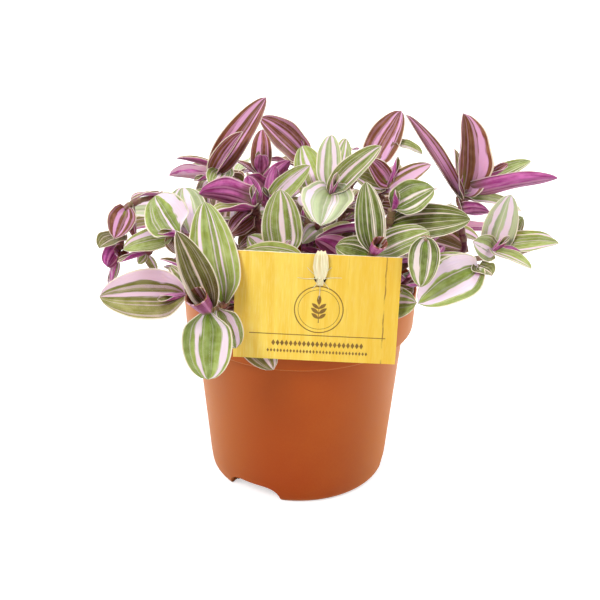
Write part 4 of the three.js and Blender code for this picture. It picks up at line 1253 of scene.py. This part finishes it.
class Finish(Graph):
    """A new material."""

    def __init__(self, name):
        self.material = bpy.data.materials.new(name)
        self.material.use_nodes = True
        super().__init__(self.material.node_tree)
        self.shader = self.tree.nodes["Principled BSDF"].inputs

    def made(self, tone, roughness, relief, strength, depth, others=()):
        """The material with its colour, roughness, relief and what else its shader is given."""
        normal = self.add("Bump", {"Height": relief, "Strength": strength, "Distance": depth})[0]
        self.fill(self.shader, {"Base Color": tone, "Roughness": roughness, "Normal": normal, **dict(others)})
        return self.material


class LeafFinish(Finish):
    """A leaf's material: the place on the leaf, the leaf's own values, its markings and soft patches."""

    def __init__(self, name, stretch, patch_scale):
        super().__init__(name)
        across, self.along = self.own_map()
        self.across = self.times(across, 2.0, -1.0)
        self.seed, self.pink, self.bronze, _ = self.own_values("kind")
        first, half, second, other_half = self.own_values("bands")
        self.marks = self.group("Leaf bands", {
            "Along": self.along, "Across": self.across, "Seed": self.seed,
            "Spread": self.times(self.bronze, 1.2, 1.0),
            "Middle 1": first, "Half 1": half, "Middle 2": second, "Half 2": other_half,
        })
        place = self.place(self.times(self.across, 2.0), self.times(self.along, stretch), self.seed)
        self.patches = self.noise(place, patch_scale, 3)


# Node groups that materials share
def shared_group(name, inputs, outputs):
    """A new node group. Its sockets are numbers, apart from a place."""
    tree = bpy.data.node_groups.new(name, "ShaderNodeTree")
    for label in inputs:
        kind = "NodeSocketVector" if label == "Place" else "NodeSocketFloat"
        tree.interface.new_socket(label, in_out="INPUT", socket_type=kind)
    for label in outputs:
        tree.interface.new_socket(label, in_out="OUTPUT", socket_type="NodeSocketFloat")
    given = tree.nodes.new("NodeGroupInput").outputs
    return Graph(tree), [given[label] for label in inputs], tree.nodes.new("NodeGroupOutput").inputs


def leaf_bands_group():
    """Lengthwise markings of a leaf: two pale bands, thin lines, the margin, veins and dark streaks."""
    inputs = ("Along", "Across", "Seed", "Spread", "Middle 1", "Half 1", "Middle 2", "Half 2")
    graph, given, wanted = shared_group("Leaf bands", inputs, ("Band", "Line", "Margin", "Vein", "Streak"))
    along, across, seed, spread, *bands = given
    shift = graph.times(seed, 61.0)
    swayed = graph.wander(graph.place(graph.times(along, 2.2), shift, 0), 0.14, across)
    feather = graph.wander(graph.place(graph.times(across, 24.0, shift), graph.times(along, 1.6), 4), 0.16)

    def stripe(number, middle, half, soft=0.012, ragged=0.0):
        swell = graph.noise(graph.place(graph.times(along, 2.6), shift, 2.0 * number), 1)
        inward = graph.less(graph.times(half, graph.times(swell, 2.0)), graph.off(swayed, middle))
        return graph.step(graph.math("ADD", inward, ragged), -soft, soft)

    first, second = stripe(0, *bands[:2], 0.03, feather), stripe(1, *bands[2:], 0.03, feather)
    lines = 0.0
    for k in range(LINES):
        draw = graph.add("TexWhiteNoise", {"W": graph.math("ADD", shift, 7.3 * k)}, noise_dimensions="1D")
        place, width, strength = graph.add("SeparateColor", {0: draw["Color"]})
        middle = graph.times(place, 1.4 / LINES, 1.8 * (k + 0.1) / LINES - 0.9)
        half = graph.times(graph.times(width, LINE_WIDEST, 0.25 * LINE_WIDEST), spread)
        line = graph.times(stripe(k + 2, middle, half), graph.times(strength, 0.75, 0.25))
        lines = graph.math("MAXIMUM", line, lines)
    broad = graph.place(graph.times(swayed, 3.1, shift), graph.times(along, 0.5), 8)
    graph.fill(wanted, {
        "Band": graph.math("MAXIMUM", first, second),
        "Line": lines,
        "Margin": graph.step(graph.off(across), 0.93, 0.96),
        "Vein": graph.math("SINE", graph.times(swayed, 52.0)),
        "Streak": graph.step(graph.noise(broad, 1, 0.6), 0.36, 0.64),
    })


def mottle_group():
    """Uneven colour: large soft patches with finer grain in them."""
    graph, (place, patches, grain), wanted = shared_group("Mottle", ("Place", "Patches", "Grain"), ("Value",))
    graph.fill(wanted, {"Value": graph.blend(0.3, graph.noise(place, patches, 3), graph.noise(place, grain))})


# Materials
def leaf_upper_material():
    """Olive to soft green between pale bands, browner towards bronze leaves, with painted shade darkening the
    green towards each leaf's base.
    """
    leaf = LeafFinish("leaf_upper", 5.0, 1.6)
    light = leaf.fade(leaf.patches, 0.3, 0.7, "98aa46", "b4c476")
    light = leaf.fade(leaf.pink, 0.6, 1.0, light, "c2cca6")
    # The deep green stands for two things: the darker leaves' own colour, and painted shade towards each
    # leaf's base.
    deep = leaf.fade(leaf.patches, 0.3, 0.7, "263406", "506618")
    lightness_and_base_shade = leaf.times(leaf.step(leaf.pink, 0.0, 0.55), 0.8, leaf.times(leaf.seed, 0.2, -0.1))
    # Painted shade: the share of light green drops towards the leaf's base, where the leaves crowd round the
    # stem.
    lightness_and_base_shade = leaf.times(leaf.step(leaf.along, 0.1, 0.9), 0.4, lightness_and_base_shade, clamp=True)
    green = leaf.mix(leaf.marks["Streak"], leaf.mix(lightness_and_base_shade, deep, light), deep, 0.4)
    tawny = leaf.fade(leaf.patches, 0.35, 0.65, "783a26", "965e42")
    tawny = leaf.mix(leaf.marks["Streak"], tawny, "664420", 0.55)
    tone = leaf.fade(leaf.bronze, 0.0, 0.75, green, tawny)
    tone = leaf.fade(leaf.marks["Vein"], -1.0, 1.0, tone, "c8bc98", 0.08)
    fresh = leaf.times(leaf.step(leaf.off(leaf.across), 0.3, 0.02), leaf.step(leaf.along, 0.4, 0.0))
    tone = leaf.mix(fresh, tone, "7f9c1e", 0.8)
    pale = leaf.fade(leaf.pink, 0.0, 0.4, "e9e3c8", "edd8e4")
    pale = leaf.mix(leaf.bronze, pale, "d88ec4", 0.85)
    tone = leaf.mix(leaf.marks["Line"], tone, pale, 0.7)
    tone = leaf.mix(leaf.marks["Band"], tone, pale)
    tone = leaf.mix(leaf.marks["Margin"], tone, "f2e4d2", 0.85)
    return leaf.made(tone, 0.42, leaf.marks["Vein"], 0.4, 0.0001, LEAF_GLOW)


def leaf_under_material():
    """Vivid purple with paler bands and dark streaks between the veins."""
    leaf = LeafFinish("leaf_under", 4.0, 1.4)
    purple = leaf.fade(leaf.patches, 0.3, 0.7, "b23c92", "ee8ad8")
    purple = leaf.mix(leaf.marks["Streak"], purple, "5c1638", 0.7)
    purple = leaf.mix(leaf.bronze, purple, "7a3c48", 0.4)
    purple = leaf.fade(leaf.along, 0.4, 0.0, purple, "66702a")
    pale = leaf.fade(leaf.pink, 0.2, 0.9, "cc86b2", "ecc8de")
    tone = leaf.mix(leaf.marks["Line"], purple, pale, 0.6)
    tone = leaf.mix(leaf.marks["Band"], tone, pale, 0.75)
    tone = leaf.mix(leaf.marks["Margin"], tone, "dfbccb", 0.8)
    return leaf.made(tone, 0.4, leaf.marks["Vein"], 0.4, 0.0001, LEAF_GLOW)


def stem_material():
    """Reddish skin with green stretches, and paler sheaths."""
    skin = Finish("stem_skin")
    place = skin.here()
    _, sheath, _, _ = skin.own_values("kind")
    streaks = skin.noise(place, 380, 3)
    tone = skin.fade(streaks, 0.35, 0.65, "5c2a32", "94505a")
    tone = skin.fade(skin.noise(place, 45), 0.42, 0.62, tone, "8b8a4c", 0.55)
    wrap = skin.fade(streaks, 0.4, 0.6, "82524c", "8e7c56")
    return skin.made(skin.mix(sheath, tone, wrap, 0.8), 0.4, streaks, 0.2, 0.0002)


def pot_material():
    """Terracotta plastic, a little uneven, with painted shade towards its foot and a painted sheen that makes
    its edges paler.
    """
    plastic = Finish("terracotta_plastic")
    place = plastic.here()
    uneven = plastic.mottled(place, 22.0, 900.0)
    # Painted shade: the plastic is a little darker towards the foot.
    tone = plastic.fade(plastic.split(place)[2], 0.0, 0.07, "a43c00", "ac4804")
    tone = plastic.fade(uneven, 0.4, 0.7, tone, "b65a12", 0.35)
    # Painted reflection: the surface turns paler where it faces away from the view, like a sheen of the white
    # surroundings.
    edge = plastic.add("LayerWeight", {"Blend": 0.5})["Facing"]
    tone = plastic.fade(edge, 0.1, 1.0, tone, "e29c50", 0.5)
    roughness = plastic.blend(plastic.step(uneven, 0.35, 0.65), 0.36, 0.46)
    relief = plastic.noise(place, 1400)
    return plastic.made(tone, roughness, relief, 0.08, 0.0002, {"Specular IOR Level": 0.2})


def soil_material():
    """Dark potting mix with pale specks."""
    mix = Finish("potting_mix")
    place = mix.here()
    uneven = mix.mottled(place, 160.0, 900.0)
    tone = mix.fade(uneven, 0.35, 0.62, "1c130d", "4a3526")
    tone = mix.fade(mix.noise(place, 420, 1), 0.66, 0.72, tone, "8a6a44")
    return mix.made(tone, 0.92, uneven, 0.8, 0.001)


def card_material():
    """A printed picture of yellow boards: upright grain, faint joints and dark cracks, with painted shade
    towards its right side.
    """
    card = Finish("board_print")
    x, y = card.own_map()
    place = card.place(x, card.times(y, 0.08), 0)
    grain = card.noise(place, 150, 4, 0.6)
    tone = card.fade(card.noise(place, 26), 0.3, 0.7, "eec43a", "f6d85a")
    tone = card.fade(grain, 0.42, 0.75, tone, "fbe68e", 0.4)
    # Painted shade: the card turns darker and more orange towards its right side.
    tone = card.fade(x, 0.1, 0.9, tone, "e0ac1c", 0.5)
    wandering = card.wander(card.place(0, y, 0), 0.012, x, 14, 3)
    for middle, half, strength, code in BOARD_JOINTS:
        line = card.step(card.off(wandering, middle), half, 0.0)
        broken = card.step(card.noise(card.place(middle, y, 3), 9, 3), 0.42, 0.6)
        tone = card.mix(card.times(line, broken), tone, code, strength)
    tone = card.fade(card.mottled(card.place(x, y, 0), 7.0, 240.0), 0.5, 0.7, tone, "e8b83a", 0.35)
    return card.made(tone, 0.5, grain, 0.05, 0.0002)


def plain_material(name, code, roughness, grain):
    """An even tone with a fine grain."""
    plain = Finish(name)
    uneven = plain.mottled(plain.here(), grain / 8, grain)
    deep = (*[0.7 * c for c in colour(code)[:3]], 1)
    return plain.made(plain.fade(uneven, 0.35, 0.6, deep, code), roughness, uneven, 0.2, 0.0002)


def raffia_material():
    """Pale split palm fibre with fine lengthwise streaks."""
    fibre = Finish("raffia_fibre")
    across, along = fibre.own_map()
    streaks = fibre.noise(fibre.place(fibre.times(across, 26.0), fibre.times(along, 1.5), 0), 1, 3)
    tone = fibre.fade(streaks, 0.35, 0.65, "d8c58e", "faf3d2")
    return fibre.made(tone, 0.5, streaks, 0.5, 0.0002, {"Subsurface Weight": 0.1, "Subsurface Scale": 0.001})


# Studio
def backdrop():
    """A pale floor. The camera sees it a little lighter than it is lit, so that the shadow stays soft."""
    bpy.ops.mesh.primitive_plane_add(size=FLOOR_SIZE)
    floor = bpy.context.object
    floor.name = "studio_floor"
    finish = Finish("pale_floor")
    seen = finish.add("LightPath")["Is Camera Ray"]
    finish.fill(finish.shader, {
        "Base Color": (0.7, 0.7, 0.7, 1), "Roughness": 0.9, "Specular IOR Level": 0.1,
        "Emission Color": (1, 1, 1, 1), "Emission Strength": finish.times(seen, FLOOR_LIFT),
    })
    floor.data.materials.append(finish.material)


def soft_light(name, place, size, power):
    light = bpy.data.lights.new(name, "AREA")
    light.size = size
    light.energy = power
    lamp = added(name, light)
    lamp.location = place
    lamp.rotation_euler = (Vector(LIGHT_AIM) - Vector(place)).to_track_quat("-Z", "Y").to_euler()


def studio_air():
    """White air, brighter behind the object than in front of it."""
    world = bpy.data.worlds.new("studio_air")
    world.use_nodes = True
    air = Graph(world.node_tree)
    ahead = air.split(air.add("TexCoord")["Generated"])[1]
    around = air.blend(air.step(ahead, -0.5, 0.7), AIR["front"], AIR["back"])
    seen = air.add("LightPath")["Is Camera Ray"]
    sky = world.node_tree.nodes["Background"].inputs
    air.fill(sky, {"Color": (1, 1, 1, 1), "Strength": air.blend(seen, around, 1.0)})
    bpy.context.scene.world = world


def camera():
    lens = bpy.data.cameras.new("photo_camera")
    lens.lens = CAMERA_LENS
    lens.clip_start = 0.01
    made = added("photo_camera", lens)
    made.location = CAMERA_PLACE
    tilt = Euler((math.radians(90 - CAMERA_PITCH), 0, 0)).to_matrix()
    made.rotation_euler = (tilt @ Matrix.Rotation(math.radians(CAMERA_ROLL), 3, "Z")).to_euler()
    bpy.context.scene.camera = made


def studio():
    camera()
    studio_air()
    for name, (place, size, power) in LIGHTS.items():
        soft_light(name, place, size, power)
    backdrop()
    bpy.context.scene.view_settings.view_transform = "Standard"


def potted_tradescantia():
    mottle_group()
    leaf_bands_group()
    foliage = [leaf_upper_material(), leaf_under_material(), stem_material()]
    plant = Plant()
    for name, stem in plant.stems.items():
        leafy_shoot(name, stem, plant.leaves[name], foliage)
    nursery_pot(pot_material())
    mix = soil_material()
    potting_soil(mix)
    soil_crumbs(mix)
    hanging_card(card_material(), plain_material("card_core", "f3ead2", 0.7, 700.0))
    card_print(plain_material("brown_ink", "8a6420", 0.6, 1500.0))
    raffia_tie(raffia_material())


studio()
potted_tradescantia()
